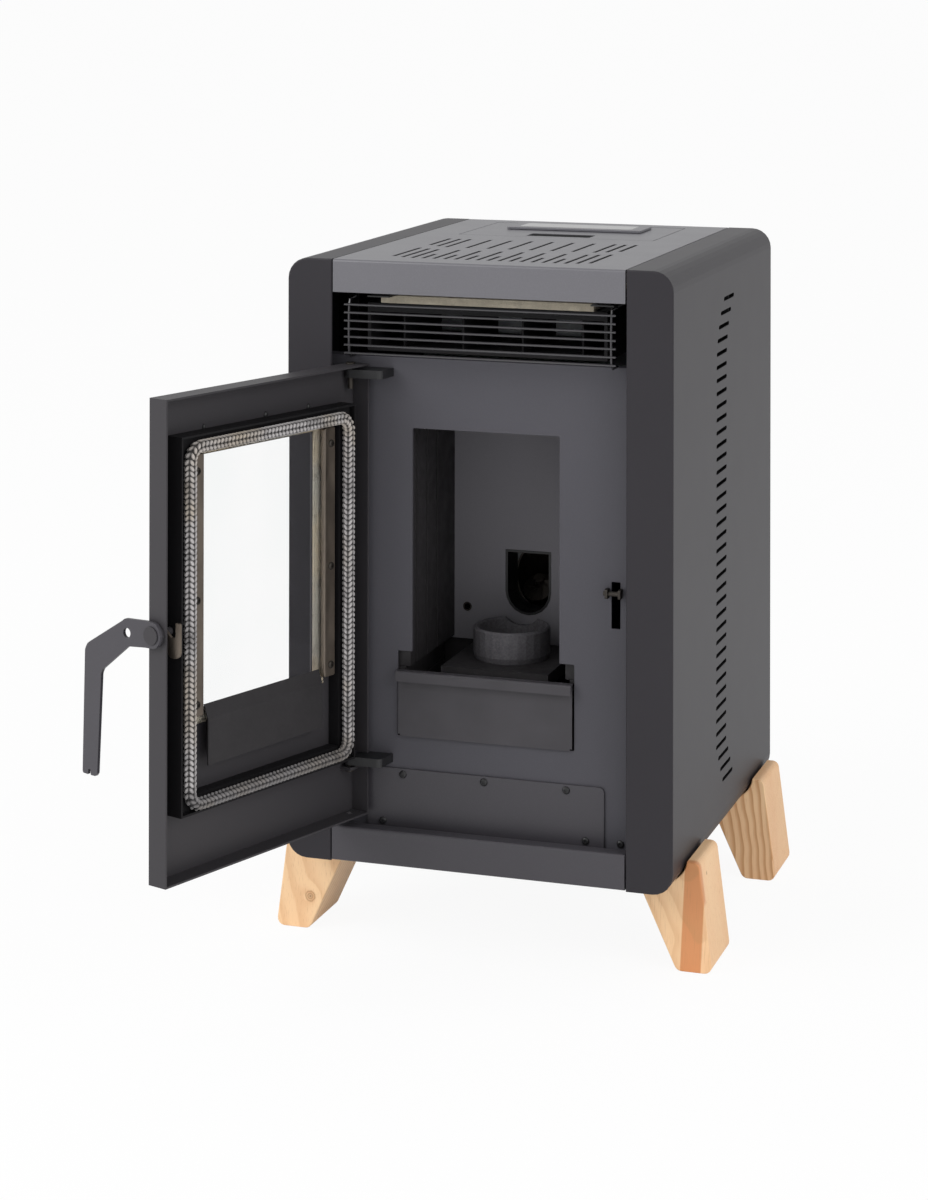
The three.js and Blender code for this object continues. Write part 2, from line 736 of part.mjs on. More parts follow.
// The seat is a folded shelf with a front apron and a round hole for the pot's socket.
function potSeat() {
  const back = linerBack;
  const shelf = block(-seatWidth / 2, seatWidth / 2, seatFront, back, seatTop - 3, seatTop);
  const apron = block(-seatWidth / 2, seatWidth / 2, seatFront, seatFront + 3, seatBottom, seatTop);
  const cheeks = [-1, 1].map((side) => {
    const [x0, x1] = [side * (seatWidth / 2 - 3), side * (seatWidth / 2)].sort((a, b) => a - b);
    return block(x0, x1, seatFront, back, seatBottom, seatTop);
  });
  return cut(join(shelf, apron, ...cheeks), alongZ(disc(0, potAxisY, seatBore / 2, 32), 0, bodyHeight));
}

// Pot frame: the origin is on its axis. A cast cup with a socket below, air holes and a dip in its rear rim.
function burnPot() {
  const socket = seatBore / 2 - 0.6;
  const inner = potRadius - potWall;
  const floor = seatTop + touch + 5;
  const top = seatTop + touch + potHeight;
  const cup = turned([
    [0, seatTop - potSocket], [socket, seatTop - potSocket], [socket, seatTop + touch],
    [potRadius - 2, seatTop + touch], [potRadius, seatTop + touch + 6], [potRadius, top - 2],
    [potRadius - 1.5, top], [inner + 1.5, top], [inner, top - 2], [inner - 2, floor], [0, floor],
  ], 28);
  const airHoles = [turned([[0, 0], [2.5, 0], [2.5, bodyHeight], [0, bodyHeight]], 8)];
  for (let i = 0; i < 8; i += 1) {
    const angle = (i * Math.PI) / 4;
    airHoles.push(rod([14 * Math.cos(angle), 14 * Math.sin(angle), 0],
      [14 * Math.cos(angle), 14 * Math.sin(angle), bodyHeight], 2.2, 6));
  }
  const dip = rod([0, inner - 12, top + 14], [0, potRadius + 12, top + 14], 14 + potDip, 24);
  return cut(cup, dip, ...airHoles);
}

function igniterTube() {
  const tube = alongY(disc(igniterX, igniterZ, igniterBore / 2, 16), linerFront, linerFront + igniterLength);
  return cut(tube, alongY(disc(igniterX, igniterZ, igniterBore / 2 - igniterWall, 16), 0, bodyDepth));
}

function inspectionCover() {
  const half = coverWidth / 2;
  const front = plateFront - touch - coverThick;
  return alongY(outline([[-half, 18], [half, 18], [half, coverTop, 5], [-half, coverTop, 5]]), front,
    front + coverThick);
}

// The ash drawer: a folded box whose face carries a lip bent forward and down as its pull.
function ashTray() {
  const faceHalf = notchWidth / 2 - trayGap;
  const bodyWidthHalf = faceHalf - 2.4;
  const faceY = plateFront - 3.1;
  const bottom = notchBottom + touch;
  const box = block(-bodyWidthHalf, bodyWidthHalf, faceY, faceY + trayDepth, bottom, trayWallTop);
  const well = block(trayWall - bodyWidthHalf, bodyWidthHalf - trayWall, faceY + trayWall,
    faceY + trayDepth - trayWall, bottom + trayWall, trayTop + 50);
  const face = block(-faceHalf, faceHalf, faceY, faceY + trayWall, notchBottom + 2.4, trayTop);
  const lip = [[faceY - trayLipReach, trayTop - trayLipHeight], [faceY - trayLipReach, trayTop + 2],
    [faceY + trayWall, trayTop + 2]];
  return join(cut(box, well), face, alongX(bent(lip.reverse(), trayWall, 2), -faceHalf - 0.6, faceHalf + 0.6),
    block(-faceHalf, faceHalf, faceY, faceY + trayWall, trayTop - 5, trayTop + 1.5));
}

piece("chamber_plate", chamberPlate(), platePaint);
piece("firebox_shell", fireboxShell(), innerPaint);
piece("firebox_liner", fireboxLiner(), platePaint);
piece("side_liner_left", sideLiner(-1), innerPaint);
piece("side_liner_right", sideLiner(1), innerPaint);
piece("pellet_chute", pelletChute(), blackSteel);
piece("pot_seat", potSeat(), innerPaint);
const pot = piece("burn_pot", burnPot(), castIron);
pot.position.y = potAxisY;
piece("igniter_tube", igniterTube(), brightSteel);
piece("inspection_cover", inspectionCover(), innerPaint);
piece("ash_tray", ashTray(), innerPaint);

// ---- warm air outlet -------------------------------------------------------
// Seven level wires on two posts whose ends turn back to the plate.
function outletGrille() {
  const wireY = 5;
  const postY = wireY + 2 * wireRadius - 0.5;
  const wires = [];
  for (let i = 0; i < grilleWires; i += 1) {
    const z = grilleFirst + i * grillePitch;
    wires.push(rod([-grilleSpan / 2, wireY, z], [grilleSpan / 2, wireY, z], wireRadius, 6));
  }
  const lowZ = plateTop + wireRadius + touch;
  const topZ = grilleFirst + (grilleWires - 1) * grillePitch + 6;
  const posts = [-1, 1].map((side) => {
    const x = (side * postSpan) / 2;
    const route = new THREE.CatmullRomCurve3([
      [plateFront - 1, lowZ], [postY + 9, lowZ], [postY + 2.5, lowZ + 0.4], [postY, lowZ + 3],
      [postY, topZ - 3.5], [postY + 2.5, topZ - 0.4], [postY + 9, topZ], [plateFront - 4, topZ],
    ].map(([y, z]) => new THREE.Vector3(x, y, z)), false, "centripetal");
    const wire = disc(0, 0, wireRadius, 6);
    return toSolid(new THREE.ExtrudeGeometry(wire, { steps: 16, extrudePath: route, bevelEnabled: false }));
  });
  return join(...wires, ...posts);
}

const ductFront = plateFront + 1.5;
const ductBack = ductFront + ductDepth;

// The outlet duct: a flat tube with a lipped mouth and upright dividers.
function outletDuct() {
  const half = ductWidth / 2;
  const outer = block(-half, half, ductFront, ductBack, ductBottom, ductTop);
  const inner = block(ductWall - half, half - ductWall, ductFront + ductWall, ductBack + 5, ductBottom + ductWall,
    ductTop - ductWall);
  const mouth = block(ductLip - half, half - ductLip, ductFront - 5, ductFront + 5, ductBottom + ductLip,
    ductTop - ductBrow);
  const dividers = [];
  for (let i = 0; i < dividerCount; i += 1) {
    const x = (i - (dividerCount - 1) / 2) * (ductWidth / dividerCount);
    dividers.push(block(x - 1, x + 1, ductFront + 24, ductBack - 20, ductBottom + 1, ductTop - 1));
  }
  return join(cut(outer, inner, mouth), ...dividers);
}

const boardTop = ductTop + touch + boardThick;

function topInsulation() {
  return block(-boardWidth / 2, boardWidth / 2, ductFront, ductBack + 30, ductTop + touch, boardTop);
}

// An angle that holds the duct up under the top.
function grilleBracket(side) {
  const centre = side * (bracketOffset + bracketWidth / 2) + (side > 0 ? bracketStagger : 0);
  const line = [[12, boardTop + touch], [60, boardTop + touch], [60, bodyHeight - sheet - touch]];
  return alongX(bent(line, 1.5, 2.5), centre - bracketWidth / 2, centre + bracketWidth / 2);
}

piece("outlet_grille", outletGrille(), blackSteel);
piece("outlet_duct", outletDuct(), innerPaint);
piece("top_insulation", topInsulation(), board);
piece("grille_bracket_left", grilleBracket(-1), zincSheet);
piece("grille_bracket_right", grilleBracket(1), zincSheet);

// ---- hinge brackets and latch keeper ---------------------------------------
// A thick tongue from the plate, rounded about the hinge pin.
function hingeBracket(z) {
  const tip = hingeX + tongueWidth - 5.7;
  const shape = outline([
    ...arc(hingeX, hingeY, 5.7, 120, 270, 6),
    [tip - 3, hingeY - 5.7, 6],
    [tip + 1, plateFront - touch],
    [hingeX + 11, plateFront - touch],
  ]);
  const tongue = alongZ(shape, z, z + tongueThick);
  return cut(tongue, alongZ(disc(hingeX, hingeY, pinRadius - pinClear, 16), z - 5, z + tongueThick + 5));
}

// Two lugs and a cross pin that the door's hook closes round.
function latchKeeper() {
  const pinY = keeperPinDepth;
  const lugShape = rectangle(pinY - 4.6, plateFront - touch, keeperPinHeight - 5, keeperPinHeight + 5, 2);
  const near = hookX + hookThick / 2 + 3.4;
  const far = hookX - hookThick / 2 - 5;
  return join(
    alongX(lugShape, near, near + keeperLugThick - 0.5),
    alongX(lugShape, far - keeperLugThick, far),
    rod([far - keeperLugThick - 2, pinY, keeperPinHeight], [near + keeperLugThick - 0.5, pinY, keeperPinHeight],
      keeperPinRadius, 12),
  );
}

piece("hinge_bracket_upper", hingeBracket(tongueUpper), platePaint);
piece("hinge_bracket_lower", hingeBracket(tongueLower), platePaint);
piece("latch_keeper", latchKeeper(), brightSteel);

// ---- fire door -------------------------------------------------------------
// Door frame: the origin is on the hinge axis; the closed door lies along +X with its face toward -Y.
const door = new THREE.Group();
door.position.set(hingeX, hingeY, 0);
door.rotation.z = THREE.MathUtils.degToRad(-doorOpenAngle);
casing.add(door);

const doorLeft = -hingeEdgeInset;
const doorRight = doorLeft + doorWidth;
const doorMiddle = doorLeft + doorWidth / 2;
const doorTop = doorBottom + doorHeight;
const faceY = doorFaceInset - hingeY;
const depth = (t) => faceY + t;
const spindleY = depth(spindleDepth);
const centred = (width, z0, z1, r = 0, steps = 4) =>
  rectangle(doorMiddle - width / 2, doorMiddle + width / 2, z0, z1, r, steps);

// The door is a pan: a skin with four deep flanges, notched where the hinge tongues enter.
function doorPan() {
  const outer = alongY(rectangle(doorLeft, doorRight, doorBottom, doorTop), faceY, depth(doorDepth), 0);
  const inner = alongY(
    rectangle(doorLeft + doorSkin, doorRight - doorSkin, doorBottom + doorSkin, doorTop - doorSkin),
    depth(doorSkin), depth(doorDepth + 10),
  );
  const window = alongY(centred(windowWidth, windowBottom, windowTop, 3), depth(-10), depth(10));
  const notchGap = 2;
  const notches = [tongueUpper, tongueLower].map((z) =>
    block(doorLeft - 5, doorLeft + 8, depth(doorSkin), depth(doorDepth + 5), z - notchGap, z + tongueThick + notchGap));
  const spindleHole = rod([doorRight - 8, spindleY, spindleHeight], [doorRight + 5, spindleY, spindleHeight],
    spindleRadius + 0.5, 12);
  const ear = block(doorLeft + doorSkin - 0.5, 8, depth(doorSkin - 0.5), 7, tongueLower - notchGap - 3,
    tongueLower - notchGap);
  const pinBore = alongZ(disc(0, 0, pinRadius - pinClear, 16), doorBottom - 5, doorTop + 5);
  return cut(join(cut(outer, inner), ear), window, spindleHole, pinBore, ...notches);
}

const frameBack = doorDepth;
const seatPlateDepth = depth(0) + 14;

// The rope's frame: outer walls, the seat that the rope is pressed into and the inner return.
function glassFrame() {
  const start = depth(doorSkin + touch);
  const walls = cut(
    alongY(centred(frameWidth, frameBottom, frameTop), start, depth(frameBack)),
    alongY(centred(frameWidth - 2 * frameSheet, frameBottom + frameSheet, frameTop - frameSheet),
      start - 5, depth(frameBack) + 5),
  );
  const innerWidth = ropeWidth - ropeDiameter - 2 * ropeClear;
  const innerBottom = ropeBottom + ropeDiameter / 2 + ropeClear;
  const innerTop = ropeTop - ropeDiameter / 2 - ropeClear;
  const seat = cut(
    alongY(centred(frameWidth - frameSheet, frameBottom + frameSheet / 2, frameTop - frameSheet / 2), seatPlateDepth,
      seatPlateDepth + frameSheet),
    alongY(centred(innerWidth, innerBottom, innerTop), seatPlateDepth - 5, seatPlateDepth + 5),
  );
  const inside = cut(
    alongY(centred(innerWidth + 2 * frameSheet, innerBottom - frameSheet, innerTop + frameSheet), start,
      seatPlateDepth + frameSheet),
    alongY(centred(innerWidth, innerBottom, innerTop), start - 5, seatPlateDepth + 15),
  );
  return join(walls, seat, inside);
}

const glassFront = doorSkin + touch + tapeThick + touch;
const glassOutline = () =>
  centred(windowWidth + 2 * glassMargin, windowBottom - glassMargin, windowTop + glassTopMargin, 2, 2);

// A woven tape runs round the pane between it and the door's skin.
function glassGasket() {
  const [start, end] = [depth(doorSkin + touch), depth(doorSkin + touch + tapeThick)];
  const bare = centred(windowWidth + 2 * tapeReveal, windowBottom - tapeReveal, windowTop + tapeReveal, 2, 2);
  return cut(alongY(glassOutline(), start, end), alongY(bare, start - 5, end + 5));
}

const doorGlass = () => alongY(glassOutline(), depth(glassFront), depth(glassFront + glassThick));

// A bar beside the pane that clamps it against the tape.
function retainer(side) {
  const paneEdge = (windowWidth / 2 + glassMargin) * side;
  const overlap = 5;
  const outer = paneEdge + side * (retainerWidth - overlap - 10);
  const [x0, x1] = [doorMiddle + paneEdge - side * overlap, doorMiddle + outer].sort((a, b) => a - b);
  const front = depth(glassFront + glassThick + touch);
  return alongY(rectangle(x0, x1, windowBottom - 4, windowTop + 4, 2), front, front + retainerThick, 1);
}

// The rope gasket: one closed ring of round rope laid along a rectangle with round corners.
function ropeGasket() {
  const [halfWidth, halfHeight] = [ropeWidth / 2 - ropeCorner, (ropeTop - ropeBottom) / 2 - ropeCorner];
  const middleZ = (ropeTop + ropeBottom) / 2;
  const y = depth(14 + frameSheet) + ropeClear + ropeDiameter / 2;
  const [cornerSteps, sideSteps, sides] = [4, 3, 8];
  const stations = [];
  [[1, 1, 0], [-1, 1, 90], [-1, -1, 180], [1, -1, 270]].forEach(([sx, sz, start]) => {
    for (let k = 0; k <= cornerSteps; k += 1) {
      const angle = THREE.MathUtils.degToRad(start + (90 * k) / cornerSteps);
      const [ox, oz] = [Math.cos(angle), Math.sin(angle)];
      stations.push([doorMiddle + sx * halfWidth + ropeCorner * ox, middleZ + sz * halfHeight + ropeCorner * oz, ox, oz]);
    }
    stations.push(null);
  });
  const rings = [];
  stations.forEach((station, i) => {
    if (station) {
      rings.push(station);
      return;
    }
    const [last, next] = [stations[i - 1], stations[(i + 1) % stations.length]];
    for (let k = 1; k < sideSteps; k += 1) rings.push(last.map((value, j) => value + ((next[j] - value) * k) / sideSteps));
  });
  const points = [];
  const faces = [];
  rings.forEach(([x, z, ox, oz], i) => {
    for (let k = 0; k < sides; k += 1) {
      const angle = ((k + 0.5) * 2 * Math.PI) / sides;
      const out = (Math.cos(angle) * ropeDiameter) / 2;
      points.push(x + out * ox, y + (Math.sin(angle) * ropeDiameter) / 2, z + out * oz);
      const [a, b] = [i * sides + k, i * sides + ((k + 1) % sides)];
      const [c, d] = [((i + 1) % rings.length) * sides + k, ((i + 1) % rings.length) * sides + ((k + 1) % sides)];
      faces.push(a, c, b, b, c, d);
    }
  });
  const geometry = new THREE.BufferGeometry();
  geometry.setAttribute("position", new THREE.BufferAttribute(new Float32Array(points), 3));
  geometry.setIndex(faces);
  return toSolid(geometry);
}

// The deflector washes the glass with air: a slanted shelf over an upright plate.
function airDeflector() {
  const line = [[depth(glassFront + glassThick + 1), deflectorTop], [depth(15), deflectorTop - 14],
    [depth(15), deflectorBottom]];
  const half = deflectorWidth / 2;
  return alongX(bent(line, 1.5, 2), doorMiddle - half, doorMiddle + half);
}

const pinTurned = (z0, z1, headZ) => join(
  alongZ(disc(0, 0, pinRadius - 2 * pinClear, 16), z0, z1),
  alongZ(disc(0, 0, pinRadius + 1, 16), headZ, headZ + 1.6),
);
const upperPin = () => pinTurned(doorTop - pinLength - 2, doorTop + 1, doorTop + touch);
const lowerPin = () => pinTurned(tongueLower - 8, tongueLower + tongueThick + 3, tongueLower - 2 - 3 - touch - 1.6);

piece("door_pan", doorPan(), sidePaint, door);
piece("glass_frame", glassFrame(), innerPaint, door);
piece("glass_gasket", glassGasket(), tapeGlass, door);
piece("door_glass", doorGlass(), clearGlass, door);
piece("retainer_left", retainer(-1), innerPaint, door);
piece("retainer_right", retainer(1), innerPaint, door);
piece("rope_gasket", ropeGasket(), ropeGlass, door);
piece("air_deflector", airDeflector(), innerPaint, door);
piece("hinge_pin_upper", upperPin(), brightSteel, door);
piece("hinge_pin_lower", lowerPin(), brightSteel, door);

// ---- handle ----------------------------------------------------------------
// Handle frame: the origin is on the spindle; +X runs along the spindle, away from the hinge.
const handle = new THREE.Group();
handle.position.set(0, spindleY, spindleHeight);
door.add(handle);

// A flat lever: it reaches forward from its boss, then turns down in a long tapering grip.
function handleLever() {
  const shape = outline([
    [13.5, 0, 12], [7, 13, 8], [-7.7, 13.5, 6], [-36, 12, 8], [-39, 9.5, 4], [-88, -20, 10], [-91, -26.6, 6],
    [-94, -148.5, 2], [-93, -150.6], [-86.6, -151], [-86.2, -145.8], [-83, -145.7], [-82.6, -151.1],
    [-76, -151.3, 2], [-73.6, -148, 2], [-68.4, -47.3, 6], [-66, -42.7, 6], [-31, -15, 8], [-7.7, -12.8, 8],
    [7, -12.5, 8],
  ], 2);
  const x0 = doorRight + leverOut;
  const plate = alongX(shape, x0, x0 + leverThick);
  const bore = rod([x0 - 5, 0, 0], [x0 + leverThick + 5, 0, 0], spindleRadius + touch, 12);
  const eye = rod([x0 - 5, -33, -2], [x0 + leverThick + 5, -33, -2], 5, 16);
  return cut(plate, bore, eye);
}

// The spindle carries a washer against the lever and a flat head outside it.
function latchSpindle() {
  const outer = doorRight + leverOut + leverThick;
  return join(
    rod([hookX - hingeX - hookThick / 2 - 9, 0, 0], [outer + 1, 0, 0], spindleRadius, 12),
    rod([outer + touch, 0, 0], [outer + touch + 1.2, 0, 0], 9, 20),
    rod([doorRight + 0.4, 0, 0], [doorRight + leverOut - touch, 0, 0], 12, 20),
  );
}

// The J hook: an open mouth that takes the keeper pin and draws the door shut.
function latchHook() {
  const shape = outline([
    ...arc(0, 0, hookHub, 225, 30, 6),
    [hookShank + 1.5, -hookThick, 1], [hookThroat, -hookThick, 2.5], [hookThroat, hookTip],
    [hookReach, hookTip, 2], [hookReach, -hookDrop, hookTip], [hookShank, -hookDrop, hookHub - 0.1],
  ]);
  const x = hookX - hingeX;
  const plate = alongX(shape, x - hookThick / 2, x + hookThick / 2);
  return cut(plate, rod([x - 5, 0, 0], [x + 5, 0, 0], spindleRadius + touch, 12));
}

piece("handle_lever", handleLever(), sidePaint, handle);
piece("latch_spindle", latchSpindle(), brightSteel, handle);
piece("latch_hook", latchHook(), brightSteel, handle);

// ---- hopper, lid and control plate -----------------------------------------
const augerTilt = THREE.MathUtils.degToRad(augerSlope);
const augerStart = new THREE.Vector3(0, chuteEnd + touch, chuteBottom + chuteMiddle);
const augerWay = new THREE.Vector3(0, Math.cos(augerTilt), -Math.sin(augerTilt));
const alongAuger = (distance) => augerWay.clone().multiplyScalar(distance).add(augerStart);
const outletY = augerStart.y + augerOutletRun;
const outletHalf = augerOutletWidth / 2;
const augerOuter = augerBore + augerWall;
const tubeTopAt = (y) => augerStart.z - (y - augerStart.y) * Math.tan(augerTilt) + augerOuter / Math.cos(augerTilt);
const hopperTop = bodyHeight - sheet - 6;

// The bin: straight walls above, a funnel below that is cut to sit on the auger tube.
function hopper() {
  const half = hopperWidth / 2;
  const neckTop = tubeTopAt(outletY - outletHalf) + 6;
  const shell = (wall) => join(
    block(wall - half, half - wall, hopperFront + wall, hopperBack - wall, hopperShoulder, hopperTop + wall),
    funnel([wall - outletHalf, outletHalf - wall, outletY - outletHalf + wall, outletY + outletHalf - wall],
      neckTop, [wall - half, half - wall, hopperFront + wall, hopperBack - wall], hopperShoulder),
    block(wall - outletHalf, outletHalf - wall, outletY - outletHalf + wall, outletY + outletHalf - wall,
      tubeTopAt(outletY + outletHalf) - 40, neckTop),
  );
  const rim = cut(
    block(-half - 7, half + 7, hopperFront - 4, hopperBack + 7, hopperTop - 2, hopperTop),
    block(1 - half, half - 1, hopperFront + 1, hopperBack - 1, hopperTop - 5, hopperTop + 5),
  );
  const seat = rod(alongAuger(20).toArray(), alongAuger(augerLength + 60).toArray(), augerOuter + touch, 28);
  const below = funnel([-60, 60, augerStart.y, hopperBack + 60], 0, [-60, 60, augerStart.y, augerStart.y + 1],
    augerStart.z);
  return cut(join(shell(0), rim), shell(hopperWall), seat, below);
}

const lid = new THREE.Group();
lid.position.set(0, lidPinY, lidPinZ);
casing.add(lid);

// Lid frame: the origin is on the hinge pins. The lid has side and front flanges and a finger pocket.
function hopperLid() {
  const half = lidWidth / 2;
  const [front, back] = [lidFront - lidPinY, lidBack - lidPinY];
  const [under, top] = [bodyHeight - sheet - lidPinZ, bodyHeight - lidPinZ];
  const plate = block(-half, half, front, back, under, top);
  const flanges = [
    block(-half, sheet - half, front, back, top - lidFlange, top),
    block(half - sheet, half, front, back, top - lidFlange, top),
    block(-half, half, front, front + sheet, top - lidFlange, top),
  ];
  const [pocketFront, pocketBack] = [fingerFront - lidPinY, fingerBack - lidPinY];
  const pocket = alongZ(
    rectangle(-fingerWidth / 2 - sheet, fingerWidth / 2 + sheet, pocketFront - sheet, pocketBack + sheet, 5),
    top - lidFlange + 1, under + 0.5);
  const opening = alongZ(rectangle(-fingerWidth / 2, fingerWidth / 2, pocketFront, pocketBack, 3),
    top - lidFlange + 1 + sheet, top + 5);
  const pins = [-1, 1].map((side) => rod([side * (half - 1), 0, 0], [side * (half + 4.5), 0, 0], lidPinRadius, 12));
  return join(cut(join(plate, ...flanges, pocket), opening), ...pins);
}

function controlPanel() {
  const top = bodyHeight - lidPinZ + touch;
  const shape = rectangle(-controlWidth / 2, controlWidth / 2, controlFront - lidPinY, controlBack - lidPinY, 3);
  return alongZ(shape, top, top + controlThick, 0.6);
}

piece("hopper", hopper(), zincSheet);
piece("hopper_lid", hopperLid(), topPaint, lid);
piece("control_panel", controlPanel(), glossBlack, lid);

// ---- feed auger ------------------------------------------------------------
// The tube slopes down to the rear; its upper end is cut upright against the chute.
function augerTube() {
  const past = augerOuter / Math.cos(augerTilt);
  const bar = (radius, from, to) => rod(alongAuger(from).toArray(), alongAuger(to).toArray(), radius, 28);
  const front = block(-100, 100, 0, augerStart.y, 0, bodyHeight);
  const feedSlot = block(2 - outletHalf, outletHalf - 2, outletY - outletHalf + 2, outletY + outletHalf - 2,
    augerStart.z - (outletY - augerStart.y), bodyHeight);
  return cut(bar(augerOuter, -past, augerLength), bar(augerBore, -past - 10, augerLength + 10), front, feedSlot);
}

// Auger frame: the origin is at the chute and +Z points along the tube toward the motor.
const auger = new THREE.Group();
auger.position.copy(augerStart);
auger.quaternion.setFromUnitVectors(up, augerWay);
casing.add(auger);

// A shaft with one helical flight, swept as a ribbon of rectangular sections.
function augerScrew() {
  const [start, end] = [flightClear + 6, augerLength - 8];
  const outer = augerBore - flightClear;
  const stepsPerTurn = 10;
  const turns = (end - start - flightThick) / flightPitch;
  const steps = Math.round(turns * stepsPerTurn);
  const points = [];
  const faces = [];
  for (let i = 0; i <= steps; i += 1) {
    const angle = (2 * Math.PI * turns * i) / steps;
    const z = start + (flightPitch * angle) / (2 * Math.PI);
    const [c, s] = [Math.cos(angle), Math.sin(angle)];
    const inner = augerShaft - 1.5;
    points.push(inner * c, inner * s, z, outer * c, outer * s, z);
    points.push(outer * c, outer * s, z + flightThick, inner * c, inner * s, z + flightThick);
    if (i === steps) break;
    for (let k = 0; k < 4; k += 1) {
      const [a, b] = [i * 4 + k, i * 4 + ((k + 1) % 4)];
      faces.push(a, b, b + 4, a, b + 4, a + 4);
    }
  }
  const last = steps * 4;
  faces.push(0, 2, 1, 0, 3, 2, last, last + 1, last + 2, last, last + 2, last + 3);
  const geometry = new THREE.BufferGeometry();
  geometry.setAttribute("position", new THREE.BufferAttribute(new Float32Array(points), 3));
  geometry.setIndex(faces);
  return join(toSolid(geometry), rod([0, 0, flightClear + 2], [0, 0, augerLength - touch], augerShaft, 12));
}

// The gear motor closes the tube's lower end: a flange, a gear case and a round motor.
function augerMotor() {
  const axis = (radius, from, to, sides) => rod([0, 0, from], [0, 0, to], radius, sides);
  const base = augerLength + touch;
  return join(
    axis(augerOuter + 8, base, base + 4, 28),
    alongZ(rectangle(-motorRadius, motorRadius, -motorRadius, motorRadius, 5), base + 3, base + 24),
    axis(motorRadius - 3, base + 23, base + motorLength, 24),
  );
}

piece("auger_tube", augerTube(), zincSheet);
piece("auger_screw", augerScrew(), brightSteel, auger);
piece("auger_motor", augerMotor(), blackSteel, auger);

// ---- fume way --------------------------------------------------------------
const blowerFront = blowerY - blowerWidth / 2;
const fumeFront = linerBack + touch + boxWall + touch;
const fumeInlet = 28;

// A flat duct down the back of the firebox: mouth at its top, spigot to the blower at its foot.
function fumeDuct() {
  const shape = (inset) => outline([
    [fumeLeft + inset, fumeTop - inset], [fumeRight - inset, fumeTop - inset],
    [fumeRight - inset, blowerZ + 60 - inset], [blowerX + fumeInlet + 10 - inset, blowerZ + 44 - inset],
    [blowerX + fumeInlet + 10 - inset, blowerZ - 38 + inset], [fumeLeft + 32 + inset, blowerZ - 38 + inset],
    [fumeLeft + inset, blowerZ + 40 + inset],
  ]);
  const back = fumeFront + fumeDepth;
  const box = alongY(shape(0), fumeFront, back);
  const hollow = alongY(shape(2), fumeFront + 2, back - 2);
  const mouth = block(fumeLeft + 4, fumeRight - 4, fumeFront - 5, fumeFront + 5, fumeTop - fumeHeight, fumeTop - 4);
  const spigot = rod([blowerX, back - 1, blowerZ], [blowerX, blowerFront - touch, blowerZ], fumeInlet, 24);
  const bore = rod([blowerX, back - 5, blowerZ], [blowerX, blowerFront + 5, blowerZ], fumeInlet - 2, 24);
  return cut(join(box, spigot), hollow, mouth, bore);
}

// The smoke fan: a round case open to the duct, a motor behind and a flue stub through the back.
function exhaustBlower() {
  const back = blowerFront + blowerWidth;
  const scroll = (grow) => {
    const r = blowerRadius + grow;
    const neck = flueRadius + 4 + grow;
    return outline([
      ...arc(blowerX, blowerZ, r, 145, 395, 20),
      [blowerX + neck, flueZ + neck - 6, 10],
      [blowerX - neck, flueZ + neck - 6, 10],
    ]);
  };
  const shell = alongY(scroll(0), blowerFront, back);
  const hollow = alongY(scroll(-blowerWall), blowerFront + blowerWall, back - blowerWall);
  const eye = rod([blowerX, blowerFront - 5, blowerZ], [blowerX, blowerFront + 5, blowerZ], fumeInlet - 2, 24);
  const motor = rod([blowerX, back - 1, blowerZ], [blowerX, back + blowerMotorLength, blowerZ],
    blowerMotorRadius, 24);
  const shaftHole = rod([blowerX, back - 5, blowerZ], [blowerX, back + 20, blowerZ], 5, 12);
  const flueEnd = bodyDepth - backInset + flueReach;
  const stub = rod([blowerX, back - 1, flueZ], [blowerX, flueEnd, flueZ], flueRadius, 32);
  const collar = rod([blowerX, back - 1, flueZ], [blowerX, back + 8, flueZ], flueRadius + 3, 32);
  const bore = rod([blowerX, back - 5, flueZ], [blowerX, flueEnd + 5, flueZ], flueRadius - 1.5, 32);
  return cut(join(cut(shell, hollow), motor, stub, collar), eye, shaftHole, bore);
}

// Impeller frame: the origin is in the middle of its back plate; it turns about Y.
function exhaustImpeller() {
  const plate = alongY(disc(0, 0, impellerRadius, 36), -2, 0);
  const hub = rod([0, -14, 0], [0, 18, 0], 4, 12);
  const boss = rod([0, -14, 0], [0, 0, 0], 11, 16);
  const blades = [];
  for (let i = 0; i < impellerBlades; i += 1) {
    const blade = new THREE.BoxGeometry(impellerRadius - 24, impellerWidth - 2, 2)
      .translate((impellerRadius + 20) / 2, -impellerWidth / 2, 6)
      .rotateY((i * 2 * Math.PI) / impellerBlades);
    blades.push(toSolid(blade));
  }
  return join(plate, hub, boss, ...blades);
}

piece("fume_duct", fumeDuct(), zincSheet);
piece("exhaust_blower", exhaustBlower(), zincSheet);
const impeller = piece("exhaust_impeller", exhaustImpeller(), brightSteel);
impeller.position.set(blowerX, blowerFront + blowerWidth - blowerWall - 5, blowerZ);

// ---- room fan --------------------------------------------------------------
const roomFanX = -112;
const roomFanY = 300;
const roomFanZ = 62;

